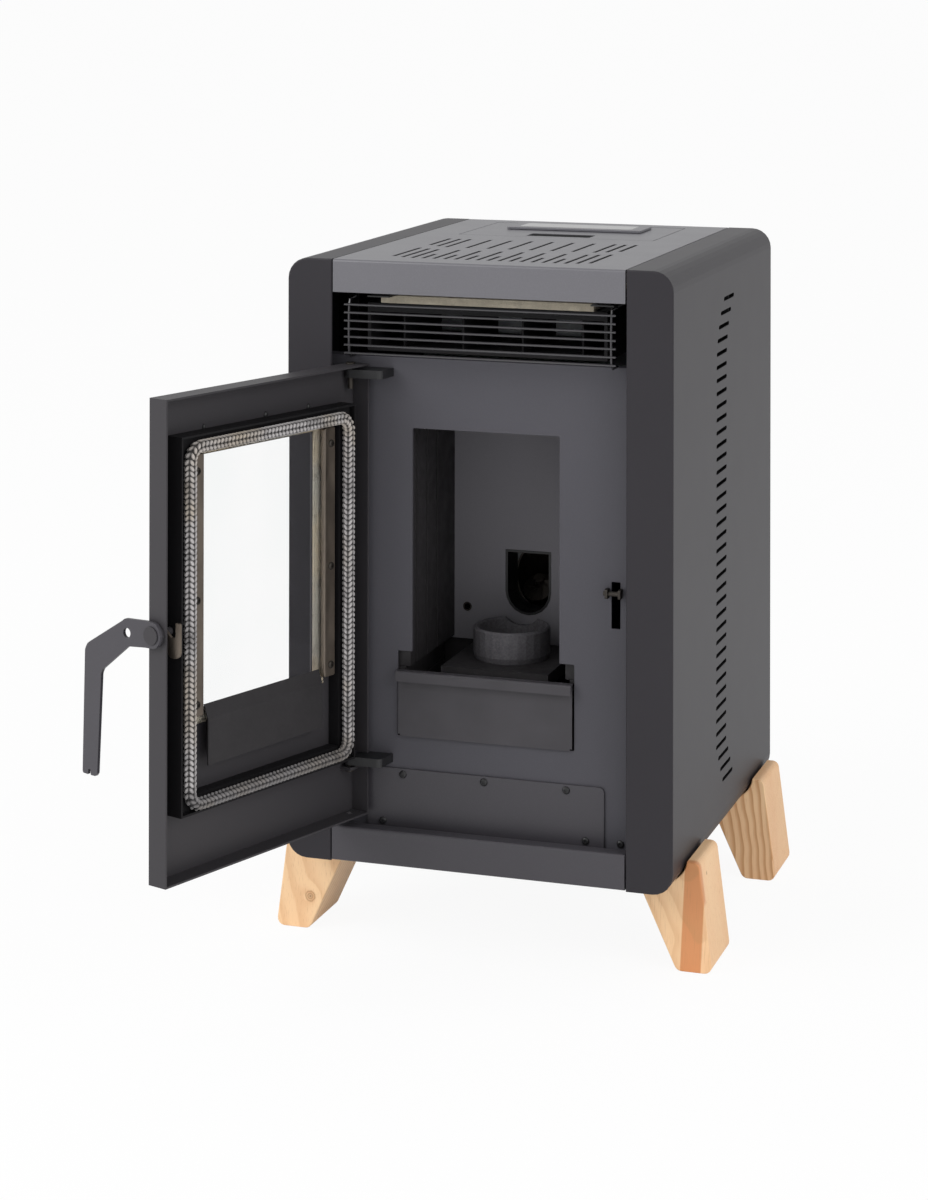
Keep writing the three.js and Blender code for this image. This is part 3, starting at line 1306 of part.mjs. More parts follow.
// A curled case along the drum, with end plates and the motor on the outer end.
function roomBlower() {
  const gap = 6;
  const r = roomFanRadius + gap;
  const half = roomFanLength / 2;
  const curl = [...arc(roomFanY, roomFanZ, r + 1.5, 150, 330, 12).map(([y, z]) => [y, z]),
    [roomFanY + r + 4, roomFanZ + 30], [roomFanY + r + 4, roomFanZ + r + 26]];
  const case_ = alongX(bent(curl, 1.5, 0), roomFanX - half, roomFanX + half);
  const endShape = outline([...arc(roomFanY, roomFanZ, r + 1.2, 120, 330, 14),
    [roomFanY + r + 3.5, roomFanZ + 30], [roomFanY + r + 3.5, roomFanZ + r + 26], [roomFanY - 10, roomFanZ + r + 4]]);
  const ends = [-1, 1].map((side) => {
    const x = roomFanX + side * half;
    return cut(alongX(endShape, x - 0.75, x + 0.75), alongX(disc(roomFanY, roomFanZ, 5.5, 12), x - 5, x + 5));
  });
  const motorX = roomFanX + half + 0.5;
  const motor = cut(rod([motorX, roomFanY, roomFanZ], [motorX + 26, roomFanY, roomFanZ], 24, 24),
    rod([motorX - 5, roomFanY, roomFanZ], [motorX + 12, roomFanY, roomFanZ], 5.5, 12));
  return join(case_, ...ends, motor);
}

// Drum frame: the origin is in the middle of the drum, which turns about X.
function roomFanWheel() {
  const half = roomFanLength / 2 - 6;
  const plates = [-half, half - 2].map((x) => alongX(disc(0, 0, roomFanRadius, 24), x, x + 2));
  const axle = rod([-half - 4, 0, 0], [half + 14, 0, 0], 4, 10);
  const blades = [];
  for (let i = 0; i < roomFanBlades; i += 1) {
    const blade = new THREE.BoxGeometry(2 * half, 8, 1.6)
      .rotateX(0.5)
      .translate(0, roomFanRadius - 5.5, 0)
      .rotateX((i * 2 * Math.PI) / roomFanBlades);
    blades.push(toSolid(blade));
  }
  return join(...plates, axle, ...blades);
}

piece("room_blower", roomBlower(), zincSheet);
const roomWheel = piece("room_fan_wheel", roomFanWheel(), blackPlastic);
roomWheel.position.set(roomFanX, roomFanY, roomFanZ);

// ---- rear fittings ---------------------------------------------------------
function intakePipe() {
  const rearFace = bodyDepth - backInset;
  const end = rearFace + intakeReach;
  const pipe = rod([intakeX, rearFace - 60, intakeZ], [intakeX, end, intakeZ], intakeRadius, 28);
  const flange = alongY(disc(intakeX, intakeZ, intakeRadius + 12), rearFace + touch, rearFace + touch + 2);
  return cut(join(pipe, flange), rod([intakeX, rearFace - 80, intakeZ], [intakeX, end + 10, intakeZ],
    intakeRadius - 1.5, 28));
}

const rearFace = bodyDepth - backInset;
const rockerZ = inletZ + 12;

// The mains inlet: a recess with three pins below and the window of the rocker switch above.
function powerInlet() {
  const half = inletWidth / 2;
  const flange = alongY(rectangle(inletX - half - 4, inletX + half + 4, inletZ - 30, inletZ + 30, 3),
    rearFace + touch, rearFace + touch + 3);
  const body = alongY(rectangle(inletX - half, inletX + half, inletZ - inletHeight / 2, inletZ + inletHeight / 2, 2),
    rearFace - 24, rearFace + 1);
  const recess = alongY(outline([
    [inletX - 12, inletZ - 20, 1], [inletX + 12, inletZ - 20, 1], [inletX + 12, inletZ - 7],
    [inletX + 8, inletZ - 3], [inletX - 8, inletZ - 3], [inletX - 12, inletZ - 7]]), rearFace - 18, rearFace + 10);
  const window = alongY(rectangle(inletX - 11, inletX + 11, rockerZ - 8, rockerZ + 8, 1), rearFace - 16, rearFace + 10);
  const pins = [-6, 0, 6].map((x) =>
    block(inletX + x - 1, inletX + x + 1, rearFace - 19, rearFace - 3, inletZ - 14, inletZ - 10));
  return join(cut(join(flange, body), recess, window), ...pins);
}

// Rocker frame: the origin is on its pivot; one half is pressed in.
function rockerSwitch() {
  const shape = outline([[-5, -3], [3, -7, 1], [4.4, -6.8, 1], [3, 0], [5.4, 6.4, 1], [4.2, 7, 1], [-5, 3]]);
  return alongX(shape, -10.4, 10.4);
}

piece("intake_pipe", intakePipe(), zincSheet);
piece("power_inlet", powerInlet(), blackPlastic);
const rocker = piece("rocker_switch", rockerSwitch(), blackPlastic);
rocker.position.set(inletX, rearFace - 3, rockerZ);

// ---- set down on the floor, centred on the rectangle that the open stove covers ----
const stove = new THREE.Group();
stove.add(casing);
stove.updateMatrixWorld(true);
const covered = new THREE.Box3().setFromObject(stove, true);
casing.position.x -= (covered.min.x + covered.max.x) / 2;
casing.position.y -= (covered.min.y + covered.max.y) / 2;

export default stove;
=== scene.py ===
"""A small pellet stove with its fire door open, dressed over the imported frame.

Metres, +Z up, and the front faces -Y.
"""

import math

import bmesh
import bpy
from mathutils import Matrix, Vector


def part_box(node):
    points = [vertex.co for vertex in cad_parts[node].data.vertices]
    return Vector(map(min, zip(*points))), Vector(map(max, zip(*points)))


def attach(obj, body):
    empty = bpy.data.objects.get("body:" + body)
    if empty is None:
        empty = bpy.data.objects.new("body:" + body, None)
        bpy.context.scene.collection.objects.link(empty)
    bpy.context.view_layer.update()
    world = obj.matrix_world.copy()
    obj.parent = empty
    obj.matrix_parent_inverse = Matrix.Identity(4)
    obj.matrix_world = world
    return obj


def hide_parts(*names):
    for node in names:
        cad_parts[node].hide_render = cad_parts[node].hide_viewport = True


bl_info = {
    "name": "Pellet Stove",
    "version": (1, 0, 0),
    "blender": (4, 5, 0),
    "location": "3D View > Sidebar > Stove",
    "description": "Finishes, trim and studio of a small pellet stove",
    "category": "Object",
}

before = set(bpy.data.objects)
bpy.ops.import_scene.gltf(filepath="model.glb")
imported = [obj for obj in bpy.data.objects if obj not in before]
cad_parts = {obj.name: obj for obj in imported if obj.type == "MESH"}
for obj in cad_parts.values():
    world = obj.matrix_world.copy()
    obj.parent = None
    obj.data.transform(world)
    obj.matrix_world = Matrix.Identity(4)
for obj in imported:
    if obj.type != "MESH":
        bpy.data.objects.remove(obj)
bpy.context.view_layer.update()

MM = 0.001
# The casing's own frame: x = 0 in its middle, y = 0 at its front faces, z = 0 at its underside.
CASING_SHIFT = Vector((46.4006, -112.4639, 92.0)) * MM
HINGE = Vector((-144.3, 10.0, 0.0)) * MM
DOOR_OPEN = math.radians(109.4)
DOOR_MIDDLE = 141.7
DOOR_FACE = -9.0


def casing_point(x, y, z):
    """Millimetres in the casing's frame to metres in the scene."""
    return Vector((x, y, z)) * MM + CASING_SHIFT


DOOR_MATRIX = Matrix.Translation(HINGE + CASING_SHIFT) @ Matrix.Rotation(-DOOR_OPEN, 4, "Z")


def door_point(x, y, z):
    """Millimetres in the door's frame, from its hinge axis, to metres in the scene."""
    return DOOR_MATRIX @ (Vector((x, y, z)) * MM)


def door_turn(direction):
    """A direction in the door's frame as a direction in the scene."""
    return (DOOR_MATRIX.to_3x3() @ Vector(direction)).normalized()


def srgb(red, green, blue):
    """A colour given as 0 to 255, as the shader reads it."""
    shares = (level / 255 for level in (red, green, blue))
    return tuple(c / 12.92 if c <= 0.04045 else ((c + 0.055) / 1.055) ** 2.4 for c in shares)


def scaled(colour, share, lift=0.0):
    """A lighter or darker version of a colour."""
    return tuple(min(1, c * share + lift) for c in colour)


# ---- nodes ------------------------------------------------------------------
class Nodes:
    """A node tree whose nodes are added and linked in one call."""

    def __init__(self, tree):
        self.tree = tree

    def add(self, kind, settings=None, **inputs):
        node = self.tree.nodes.new(kind)
        for key, value in (settings or {}).items():
            setattr(node, key, value)
        for key, value in inputs.items():
            self.feed(node.inputs[key.replace("_", " ")], value)
        return node

    def feed(self, socket, value):
        if isinstance(value, bpy.types.NodeSocket):
            self.tree.links.new(value, socket)
        elif socket.type == "RGBA" and len(value) == 3:
            socket.default_value = (*value, 1)
        else:
            socket.default_value = value

    def maths(self, operation, first, second=0.0):
        node = self.add("ShaderNodeMath", {"operation": operation})
        self.feed(node.inputs[0], first)
        self.feed(node.inputs[1], second)
        return node.outputs[0]

    def vector(self, operation, first, second=None, scale=None):
        node = self.add("ShaderNodeVectorMath", {"operation": operation})
        self.feed(node.inputs[0], first)
        if second is not None:
            self.feed(node.inputs[1], second)
        if scale is not None:
            self.feed(node.inputs["Scale"], scale)
        return node.outputs["Value" if operation in ("LENGTH", "DISTANCE") else "Vector"]


class Shading(Nodes):
    """A material's node tree, read in Object coordinates."""

    def __init__(self, name):
        self.material = bpy.data.materials.new(name)
        self.material.use_nodes = True
        super().__init__(self.material.node_tree)
        self.tree.nodes.clear()
        self.output = self.add("ShaderNodeOutputMaterial")
        self.place = self.add("ShaderNodeTexCoord").outputs["Object"]

    def mapped(self, scale=(1, 1, 1), turn=(0, 0, 0), centre=(0, 0, 0)):
        """Object coordinates about a centre, turned, then stretched."""
        moved = self.vector("SUBTRACT", self.place, centre)
        turned = self.add("ShaderNodeMapping", Vector=moved, Rotation=turn)
        return self.add("ShaderNodeMapping", Vector=turned.outputs[0], Scale=scale).outputs[0]

    def noise(self, scale, detail=2.0, roughness=0.5, vector=None):
        node = self.add("ShaderNodeTexNoise", Vector=vector or self.place, Scale=scale, Detail=detail,
                        Roughness=roughness)
        return node.outputs["Fac"]

    def cells(self, scale, output):
        """Scattered points: Distance is how far the nearest one is, and Color tells their cells apart."""
        return self.add("ShaderNodeTexVoronoi", Vector=self.place, Scale=scale).outputs[output]

    def span(self, value, low, high, to_low=0.0, to_high=1.0):
        node = self.add("ShaderNodeMapRange", {"clamp": True}, Value=value, From_Min=low, From_Max=high,
                        To_Min=to_low, To_Max=to_high)
        return node.outputs[0]

    def blend(self, amount, first, second):
        node = self.add("ShaderNodeMix", {"data_type": "RGBA"})
        self.feed(node.inputs[0], amount)
        self.feed(node.inputs[6], first)
        self.feed(node.inputs[7], second)
        return node.outputs[2]

    def lay(self, tone, colour, mask, share):
        """A colour laid over a tone where a mask is 1, by a share."""
        return self.blend(self.maths("MULTIPLY", mask, share), tone, colour)

    def axis(self, name, vector=None):
        return self.add("ShaderNodeSeparateXYZ", Vector=vector or self.place).outputs[name]

    def spread(self, noise, low=0.0, high=1.0):
        """Noise, most of which lies between 0.3 and 0.7, spread from low to high."""
        return self.span(noise, 0.3, 0.7, low, high)

    def mottled(self, noise, colour, low, high):
        """A colour that drifts with noise between two of its shares."""
        return self.blend(self.spread(noise), scaled(colour, low), scaled(colour, high))

    def inside(self, low, high, soft=0.0001):
        """1 inside the box between two corners in the scene."""
        mask = 1.0
        for name, start, end in zip("XYZ", low, high):
            along = self.axis(name)
            for edge, before, after in ((start, 0, 1), (end, 1, 0)):
                mask = self.maths("MULTIPLY", mask, self.span(along, edge - soft, edge + soft, before, after))
        return mask

    def bump(self, height, distance, strength, normal=None):
        node = self.add("ShaderNodeBump", Height=height, Distance=distance, Strength=strength)
        if normal:
            self.feed(node.inputs["Normal"], normal)
        return node.outputs[0]

    def surface(self, colour, roughness, normal=None, **fixed):
        shader = self.add("ShaderNodeBsdfPrincipled", Base_Color=colour, Roughness=roughness, **fixed)
        if normal:
            self.feed(shader.inputs["Normal"], normal)
        self.tree.links.new(shader.outputs[0], self.output.inputs[0])
        return self.material


# ---- finishes ---------------------------------------------------------------
def painted_steel(name, colour, rough, peel=0.00004, grit=0.0, specular=0.5, patch=0.05, painted_shade_box=None):
    """Stove paint baked on sheet steel: a slow drift of tone, orange peel, and grit in a textured coat.

    Between the two corners given lie cut edges and pockets, which get painted shade: their colour is taken
    nearly to black.
    """
    shade = Shading(name)
    tone = shade.mottled(shade.noise(5, 3), colour, 1 - patch, 1 + patch)
    fleck = shade.span(shade.noise(1400), 0.5, 0.72)
    tone = shade.lay(tone, scaled(colour, 1.7, 0.01), fleck, 0.06 + grit)
    worn = shade.span(shade.noise(24), 0.3, 0.75, rough - 0.15 * patch, rough + 0.25 * patch)
    if painted_shade_box:
        # painted shade: cut edges and pockets in the box are darkened nearly to black
        inside = shade.inside(*painted_shade_box)
        tone = shade.lay(tone, (0.0012, 0.0012, 0.0013), inside, 0.93)
        worn = shade.maths("MAXIMUM", worn, shade.maths("MULTIPLY", inside, 0.9))
    waves = shade.bump(shade.noise(320), peel, 1.0)
    grain = shade.bump(shade.noise(1500, 2, 0.6), 0.00002 + 0.0001 * grit, 0.6, waves)
    return shade.surface(tone, worn, grain, Specular_IOR_Level=specular)


def tray_finish(name, colour, soot):
    """Satin paint on the tray's face, burnt to dull soot behind it."""
    shade = Shading(name)
    behind = shade.span(shade.axis("Y"), casing_point(0, 29.2, 0).y, casing_point(0, 31.2, 0).y)
    tone = shade.blend(behind, shade.mottled(shade.noise(30, 3), colour, 0.93, 1.1), soot)
    satin = shade.spread(shade.noise(50, 3), 0.38, 0.48)
    worn = shade.maths("ADD", satin, shade.maths("MULTIPLY", behind, 0.35))
    relief = shade.bump(shade.noise(1300), 0.00004, 0.6)
    return shade.surface(tone, worn, relief, Specular_IOR_Level=0.35)


def sooty_paint(name, colour, ash, rough):
    """Matt inner paint that has been fired: soot clouds, and pale ash where it settles."""
    shade = Shading(name)
    tone = shade.mottled(shade.noise(9, 4, 0.55), colour, 0.82, 1.18)
    dust = shade.span(shade.noise(600, 4, 0.7), 0.62, 0.8)
    tone = shade.lay(tone, ash, dust, 0.14)
    worn = shade.spread(shade.noise(60, 3), rough - 0.08, rough + 0.1)
    relief = shade.bump(shade.noise(700, 4, 0.65), 0.00012, 0.7)
    return shade.surface(tone, worn, relief, Specular_IOR_Level=0.4)


def rough_casting(name, colour):
    """Sand-cast iron: a lumpy skin with fine pits."""
    shade = Shading(name)
    lumps = shade.noise(420, 3, 0.6)
    pits = shade.span(shade.cells(700, "Distance"), 0.05, 0.4)
    relief = shade.bump(pits, 0.00025, 0.6, shade.bump(lumps, 0.0003, 0.8))
    worn = shade.spread(shade.noise(90, 3), 0.55, 0.8)
    return shade.surface(shade.mottled(lumps, colour, 0.8, 1.25), worn, relief, Metallic=0.35)


def bare_metal(name, colour, rough, brush=(400, 400, 20), spangle=0.0):
    """Bare or plated steel: drawing marks along one way, and zinc crystals where it is galvanised."""
    shade = Shading(name)
    drawn = shade.noise(1, 3, 0.6, shade.mapped(brush))
    tone = shade.mottled(drawn, colour, 0.82, 1.1)
    worn = shade.spread(drawn, rough - 0.07, rough + 0.1)
    if spangle:
        crystal = shade.axis("X", shade.cells(75, "Color"))
        tone = shade.lay(tone, scaled(colour, 1.35), crystal, spangle)
        worn = shade.maths("ADD", worn, shade.maths("MULTIPLY", crystal, 0.16))
    return shade.surface(tone, worn, shade.bump(drawn, 0.00003, 0.7), Metallic=0.92)


def grown_wood(name, light, dark, warm, pith, lean, rings, depth, heart=None, knots=()):
    """Oiled wood: rings round a leaning pith, pores along the grain, a heart stripe, and knots that bend it.

    rings is their number in a metre, depth is how dark they are, and heart is where the stripe lies in X.
    """
    shade = Shading(name)
    base = shade.mapped(turn=lean, centre=pith)
    sway = shade.add("ShaderNodeTexNoise", Vector=base, Scale=9, Detail=2).outputs["Color"]
    grown = shade.vector("ADD", base, shade.vector("SCALE", sway, scale=0.009))
    reach = shade.vector("LENGTH", shade.vector("MULTIPLY", grown, (1, 1, 0.03)))
    knot_face, knot_core = 0.0, 0.0
    for centre, radius in knots:
        ragged = shade.maths("MULTIPLY", shade.noise(300), 0.3 * radius)
        away = shade.maths("ADD", shade.vector("DISTANCE", shade.place, centre), ragged)
        near = shade.span(away, radius * 0.6, radius * 4, 1, 0)
        push = shade.maths("MULTIPLY", shade.maths("POWER", near, 2.0), radius * 1.6)
        reach = shade.maths("ADD", reach, push)
        spot = shade.span(away, radius * 0.95, radius * 1.3, 1, 0)
        turns = shade.maths("PINGPONG", away, radius * 0.2)
        rim = shade.span(turns, 0.0, radius * 0.2, 0.35, 1.0)
        core = shade.span(away, radius * 0.2, radius * 0.5, 1, 0)
        knot_face = shade.maths("MAXIMUM", shade.maths("MULTIPLY", spot, rim), knot_face)
        knot_core = shade.maths("MAXIMUM", core, knot_core)
    ring = shade.maths("FRACT", shade.maths("MULTIPLY", reach, rings))
    late, early = (
        shade.add("ShaderNodeMapRange", {"interpolation_type": "SMOOTHSTEP"}, Value=ring,
                  From_Min=start, From_Max=end, To_Min=first, To_Max=last).outputs[0]
        for start, end, first, last in ((0.3, 0.9, 0.0, 1.0), (0.9, 1.0, 1.0, 0.0)))
    band = shade.maths("MULTIPLY", late, early)
    fibre = shade.noise(1, 3, 0.6, shade.mapped((900, 900, 40), lean, pith))
    broad = shade.span(shade.noise(26, 3, 0.55, shade.mapped((1, 1, 0.25), lean, pith)), 0.32, 0.72)
    tone = shade.lay(light, warm, broad, 0.5 * depth)
    strength = depth
    if heart:
        low, high = heart
        front = casing_point(0, 52, 0).y
        across = shade.maths("SUBTRACT", shade.axis("X"), shade.maths("MULTIPLY", shade.axis("Z"), 0.05))
        stripe = shade.span(across, low - 0.001, low)
        stripe = shade.maths("MULTIPLY", stripe, shade.span(across, high, high + 0.001, 1, 0))
        stripe = shade.maths("MULTIPLY", stripe, shade.span(shade.axis("Y"), front, front + 0.006, 1, 0))
        tone = shade.lay(tone, tuple(c * share for c, share in zip(dark, (0.86, 0.68, 0.58))), stripe, 0.85)
        strength = shade.span(stripe, 0, 1, depth * 0.45, depth)
    tone = shade.lay(tone, scaled(dark, 0.78), band, strength)
    tone = shade.lay(tone, scaled(dark, 0.62), shade.span(fibre, 0.56, 0.7), 0.3)
    if knots:
        tone = shade.lay(tone, scaled(dark, 0.5), knot_face, 0.8)
        tone = shade.lay(tone, scaled(dark, 0.3), knot_core, 0.8)
    worn = shade.spread(fibre, 0.42, 0.58)
    return shade.surface(tone, worn, shade.bump(fibre, 0.00008, 0.5), Specular_IOR_Level=0.4)


def mineral_board(name, colour):
    """Pressed fibre board: short pale fibres and dark specks in a beige body."""
    shade = Shading(name)
    body = shade.mottled(shade.noise(90, 4, 0.6), colour, 0.75, 1.0)
    speck = shade.span(shade.cells(520, "Distance"), 0.05, 0.22, 1, 0)
    tone = shade.lay(body, srgb(96, 84, 70), speck, 0.5)
    fibre = shade.noise(1, 3, 0.6, shade.mapped((300, 900, 900), (0, 0, 0.5)))
    tone = shade.blend(shade.span(fibre, 0.58, 0.75, 0, 0.6), tone, srgb(232, 226, 214))
    return shade.surface(tone, 0.92, shade.bump(fibre, 0.0004, 0.8), Specular_IOR_Level=0.2)


def glass_rope(name, colour, stain, painted_plait_shade=False):
    """Spun glass yarn: hair-fine fibres, heat stains in patches, and soot.

    Where it is plaited it gets painted shade: a darker lower run, and dark dips that the attribute crest tells
    from stitches.
    """
    shade = Shading(name)
    hair = shade.noise(2600, 3, 0.7)
    yarn = shade.blend(shade.span(hair, 0.3, 0.72), scaled(colour, 0.55), scaled(colour, 1.3))
    tone = shade.lay(yarn, stain, shade.span(shade.noise(13, 3, 0.6), 0.5, 0.68), 0.75)
    tone = shade.lay(tone, srgb(46, 43, 42), shade.span(shade.noise(34, 4, 0.65), 0.52, 0.75), 0.7)
    if painted_plait_shade:
        # painted shade: the dips between stitches and the core below them are darkened
        crest = shade.add("ShaderNodeAttribute", {"attribute_name": "crest"}).outputs["Fac"]
        tone = shade.blend(shade.span(crest, 0.0, 0.85, 0.85, 0.0), tone, srgb(40, 38, 38))
        # painted shade: the rope's lower run is darker
        low, high = casing_point(0, 0, 125).z, casing_point(0, 0, 145).z
        tone = shade.blend(shade.span(shade.axis("Z"), low, high, 0.62, 0.0), tone, srgb(62, 60, 62))
    return shade.surface(tone, 0.95, shade.bump(hair, 0.0003, 0.9), Specular_IOR_Level=0.25, Sheen_Weight=0.2,
                         Sheen_Roughness=0.5)


def clear_pane(name):
    """Ceramic glass: clear, with a faint bloom."""
    shade = Shading(name)
    bloom = shade.span(shade.noise(7, 3), 0.3, 0.8, 0.0, 0.015)
    tone = shade.blend(shade.spread(shade.noise(9)), (0.97, 0.985, 0.98), (1.0, 1.0, 1.0))
    return shade.surface(tone, bloom, Transmission_Weight=1.0, IOR=1.25)


def dark_gloss(name, colour, rough):
    """The smooth dark pane over the display."""
    shade = Shading(name)
    tone = shade.mottled(shade.noise(20), colour, 0.8, 1.3)
    worn = shade.spread(shade.noise(120, 3), rough, rough + 0.08)
    relief = shade.bump(shade.noise(60), 0.00002, 0.5)
    return shade.surface(tone, worn, relief, Coat_Weight=0.4, Coat_Roughness=0.05)


def moulded_plastic(name, colour):
    """Black plastic with a fine moulded grain."""
    shade = Shading(name)
    grain = shade.noise(1600)
    worn = shade.spread(shade.noise(50), 0.4, 0.55)
    return shade.surface(shade.mottled(grain, colour, 0.8, 1.25), worn, shade.bump(grain, 0.00004, 0.6))


# The walls of the slots and the finger pocket in the top, and of the slots in the sides, lie in these boxes,
# where the paint gets painted shade.
TOP_PAINTED_SHADE = (casing_point(-150, 12, 600), casing_point(150, 465, 639.4))
SIDE_PAINTED_SHADE = (casing_point(-211.5, 150, 30), casing_point(211.5, 330, 600))

FOOT_WOOD = {
    "front_left": dict(pith=casing_point(-150, -60, 0), lean=(0.10, 0.05, 0), rings=95, depth=0.3,
                       knots=[(casing_point(-203.4, 47, -56.9), 0.0062)]),
    "front_right": dict(pith=casing_point(230, -240, 0), lean=(0.02, -0.03, 0), rings=520, depth=0.6,
                        heart=(casing_point(208.6, 0, 0).x, casing_point(229.5, 0, 0).x),
                        knots=[(casing_point(229.9, 72.8, 4.6), 0.0022)]),
    "back_left": dict(pith=casing_point(-190, 520, 0), lean=(-0.08, 0.1, 0), rings=240, depth=0.5),
    "back_right": dict(pith=casing_point(120, 640, 0), lean=(0.03, 0.02, 0), rings=330, depth=0.8),
}

FINISHES = {}


def make_finishes():
    """Every finish of the stove, by the name of the piece or group of pieces that wears it."""
    looks = bpy.context.scene.stove_finishes
    side, top, plate, inner = (tuple(getattr(looks, key)) for key in ("side", "top", "plate", "inner"))
    light, dark, warm = (tuple(getattr(looks, key)) for key in ("wood_light", "wood_dark", "wood_shadow"))
    kinds = {
        painted_steel: dict(
            side_paint=dict(colour=side, rough=0.42, peel=0.00002, specular=0.2, patch=0.02,
                            painted_shade_box=SIDE_PAINTED_SHADE),
            door_paint=dict(colour=srgb(60, 58, 61), rough=0.46, specular=0.3),
            satin_paint=dict(colour=srgb(68, 66, 71), rough=0.4, grit=0.1, specular=0.4),
            frame_paint=dict(colour=srgb(24, 23, 25), rough=0.6, specular=0.2),
            wire_paint=dict(colour=srgb(48, 47, 50), rough=0.24, specular=0.9),
            top_paint=dict(colour=top, rough=0.36, grit=0.2, specular=1.0, painted_shade_box=TOP_PAINTED_SHADE),
            plate_paint=dict(colour=plate, rough=0.56, grit=0.06, specular=0.25),
            liner_paint=dict(colour=srgb(132, 130, 136), rough=0.6, grit=0.05, specular=0.3),
            black_steel=dict(colour=srgb(30, 30, 32), rough=0.42)),
        bare_metal: dict(
            bright_steel=dict(colour=srgb(196, 191, 182), rough=0.3),
            zinc_sheet=dict(colour=srgb(176, 178, 182), rough=0.38, brush=(60, 60, 60), spangle=0.5),
            smoked_steel=dict(colour=srgb(128, 118, 108), rough=0.42, brush=(60, 60, 25)),
            worn_steel=dict(colour=srgb(70, 66, 62), rough=0.5)),
        glass_rope: dict(
            rope=dict(colour=srgb(206, 202, 202), stain=srgb(190, 176, 156), painted_plait_shade=True),
            tape=dict(colour=srgb(168, 162, 152), stain=srgb(190, 170, 140))),
        tray_finish: dict(tray_paint=dict(colour=srgb(66, 64, 68), soot=srgb(24, 23, 24))),
        sooty_paint: dict(inner_paint=dict(colour=inner, ash=srgb(150, 146, 142), rough=0.6)),
        rough_casting: dict(cast_iron=dict(colour=srgb(98, 96, 100))),
        mineral_board: dict(insulation=dict(colour=srgb(214, 204, 184))),
        clear_pane: dict(glass={}),
        dark_gloss: dict(gloss_black=dict(colour=srgb(20, 21, 25), rough=0.06)),
        moulded_plastic: dict(black_plastic=dict(colour=srgb(26, 26, 28))),
        grown_wood: {"wood_" + place: dict(grain, light=light, dark=dark, warm=warm)
                     for place, grain in FOOT_WOOD.items()},
    }
    for make, finishes in kinds.items():
        for name, values in finishes.items():
            FINISHES[name] = make(name, **values)


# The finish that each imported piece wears.
WORN_BY = {
    "side_paint": ["left_side_panel", "right_side_panel"],
    "door_paint": ["door_pan", "latch_spindle"],
    "frame_paint": ["glass_frame", "outlet_duct"],
    "tray_paint": ["ash_tray"],
    "satin_paint": ["inspection_cover", "bottom_fascia", "handle_lever"],
    "wire_paint": ["outlet_grille"],
    "top_paint": ["top_panel", "hopper_lid", "control_panel"],
    "plate_paint": ["chamber_plate", "back_panel", "base_pan"],
    "inner_paint": ["side_liner_left", "side_liner_right", "pot_seat", "firebox_shell", "air_deflector"],
    "liner_paint": ["firebox_liner"],
    "black_steel": ["grille_bracket_left", "grille_bracket_right", "slot_shield_left", "slot_shield_right",
                    "pellet_chute", "hinge_bracket_upper", "hinge_bracket_lower", "intake_pipe"],
    "cast_iron": ["burn_pot"],
    "smoked_steel": ["retainer_left", "retainer_right", "latch_hook"],
    "worn_steel": ["auger_screw", "auger_tube", "igniter_tube", "latch_keeper",
                   "hinge_pin_upper", "hinge_pin_lower"],
    "bright_steel": ["exhaust_impeller", "room_fan_wheel"],
    "zinc_sheet": ["hopper", "auger_motor", "fume_duct", "exhaust_blower", "room_blower"],
    "tape": ["glass_gasket"],
    "insulation": ["top_insulation"],
    "glass": ["door_glass"],
    "black_plastic": ["power_inlet", "rocker_switch"],
    **{"wood_" + place: ["foot_" + place] for place in FOOT_WOOD},
}


# ---- meshes -----------------------------------------------------------------
def link_mesh(name, mesh):
    """Puts a mesh into the scene as a piece at the origin."""
    piece = bpy.data.objects.new(name, mesh)
    bpy.context.scene.collection.objects.link(piece)
    return piece


def closed_mesh(name, build):
    """A piece whose faces all point outwards, made by a function that fills a bmesh."""
    shape = bmesh.new()
    build(shape)
    bmesh.ops.remove_doubles(shape, verts=shape.verts, dist=1e-6)
    bmesh.ops.recalc_face_normals(shape, faces=shape.faces)
    mesh = bpy.data.meshes.new(name)
    shape.to_mesh(mesh)
    shape.free()
    return link_mesh(name, mesh)


def wear(piece, finish, body, replaced=()):
    """The last step of a new piece: its finish, the body that it rides on, and the imported pieces that it
    takes the place of, which are hidden.
    """
    piece.data.materials.clear()
    piece.data.materials.append(FINISHES[finish])
    if replaced:
        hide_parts(*replaced)
    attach(piece, body)


def smooth(piece, angle):
    """Shades a piece smooth up to an angle between its faces, in degrees."""
    piece.data.shade_smooth()
    piece.data.set_sharp_from_angle(angle=math.radians(angle))


def skin(shape, first, second):
    """Closes the strip between two loops that have the same number of vertices."""
    for k in range(len(first)):
        after = (k + 1) % len(first)
        shape.faces.new((first[k], first[after], second[after], second[k]))


def lathe(shape, profile, sides, place):
    """Adds a turned solid: profile is (radius, height) from pole to pole, place takes it from its own axis."""
    turns = [2 * math.pi * k / sides for k in range(sides)]
    rings = []
    for radius, height in profile:
        if radius:
            points = [(radius * math.cos(t), radius * math.sin(t), height) for t in turns]
        else:
            points = [(0, 0, height)]
        rings.append([shape.verts.new(place @ Vector(point)) for point in points])
    for low, high in zip(rings, rings[1:]):
        for k in range(sides):
            after = (k + 1) % sides
            corners = (low[k % len(low)], low[after % len(low)], high[after % len(high)], high[k % len(high)])
            shape.faces.new(list(dict.fromkeys(corners)))


def facing(point, direction):
    """A place whose own +Z looks along a direction."""
    return Matrix.Translation(point) @ Vector(direction).to_track_quat("Z", "Y").to_matrix().to_4x4()


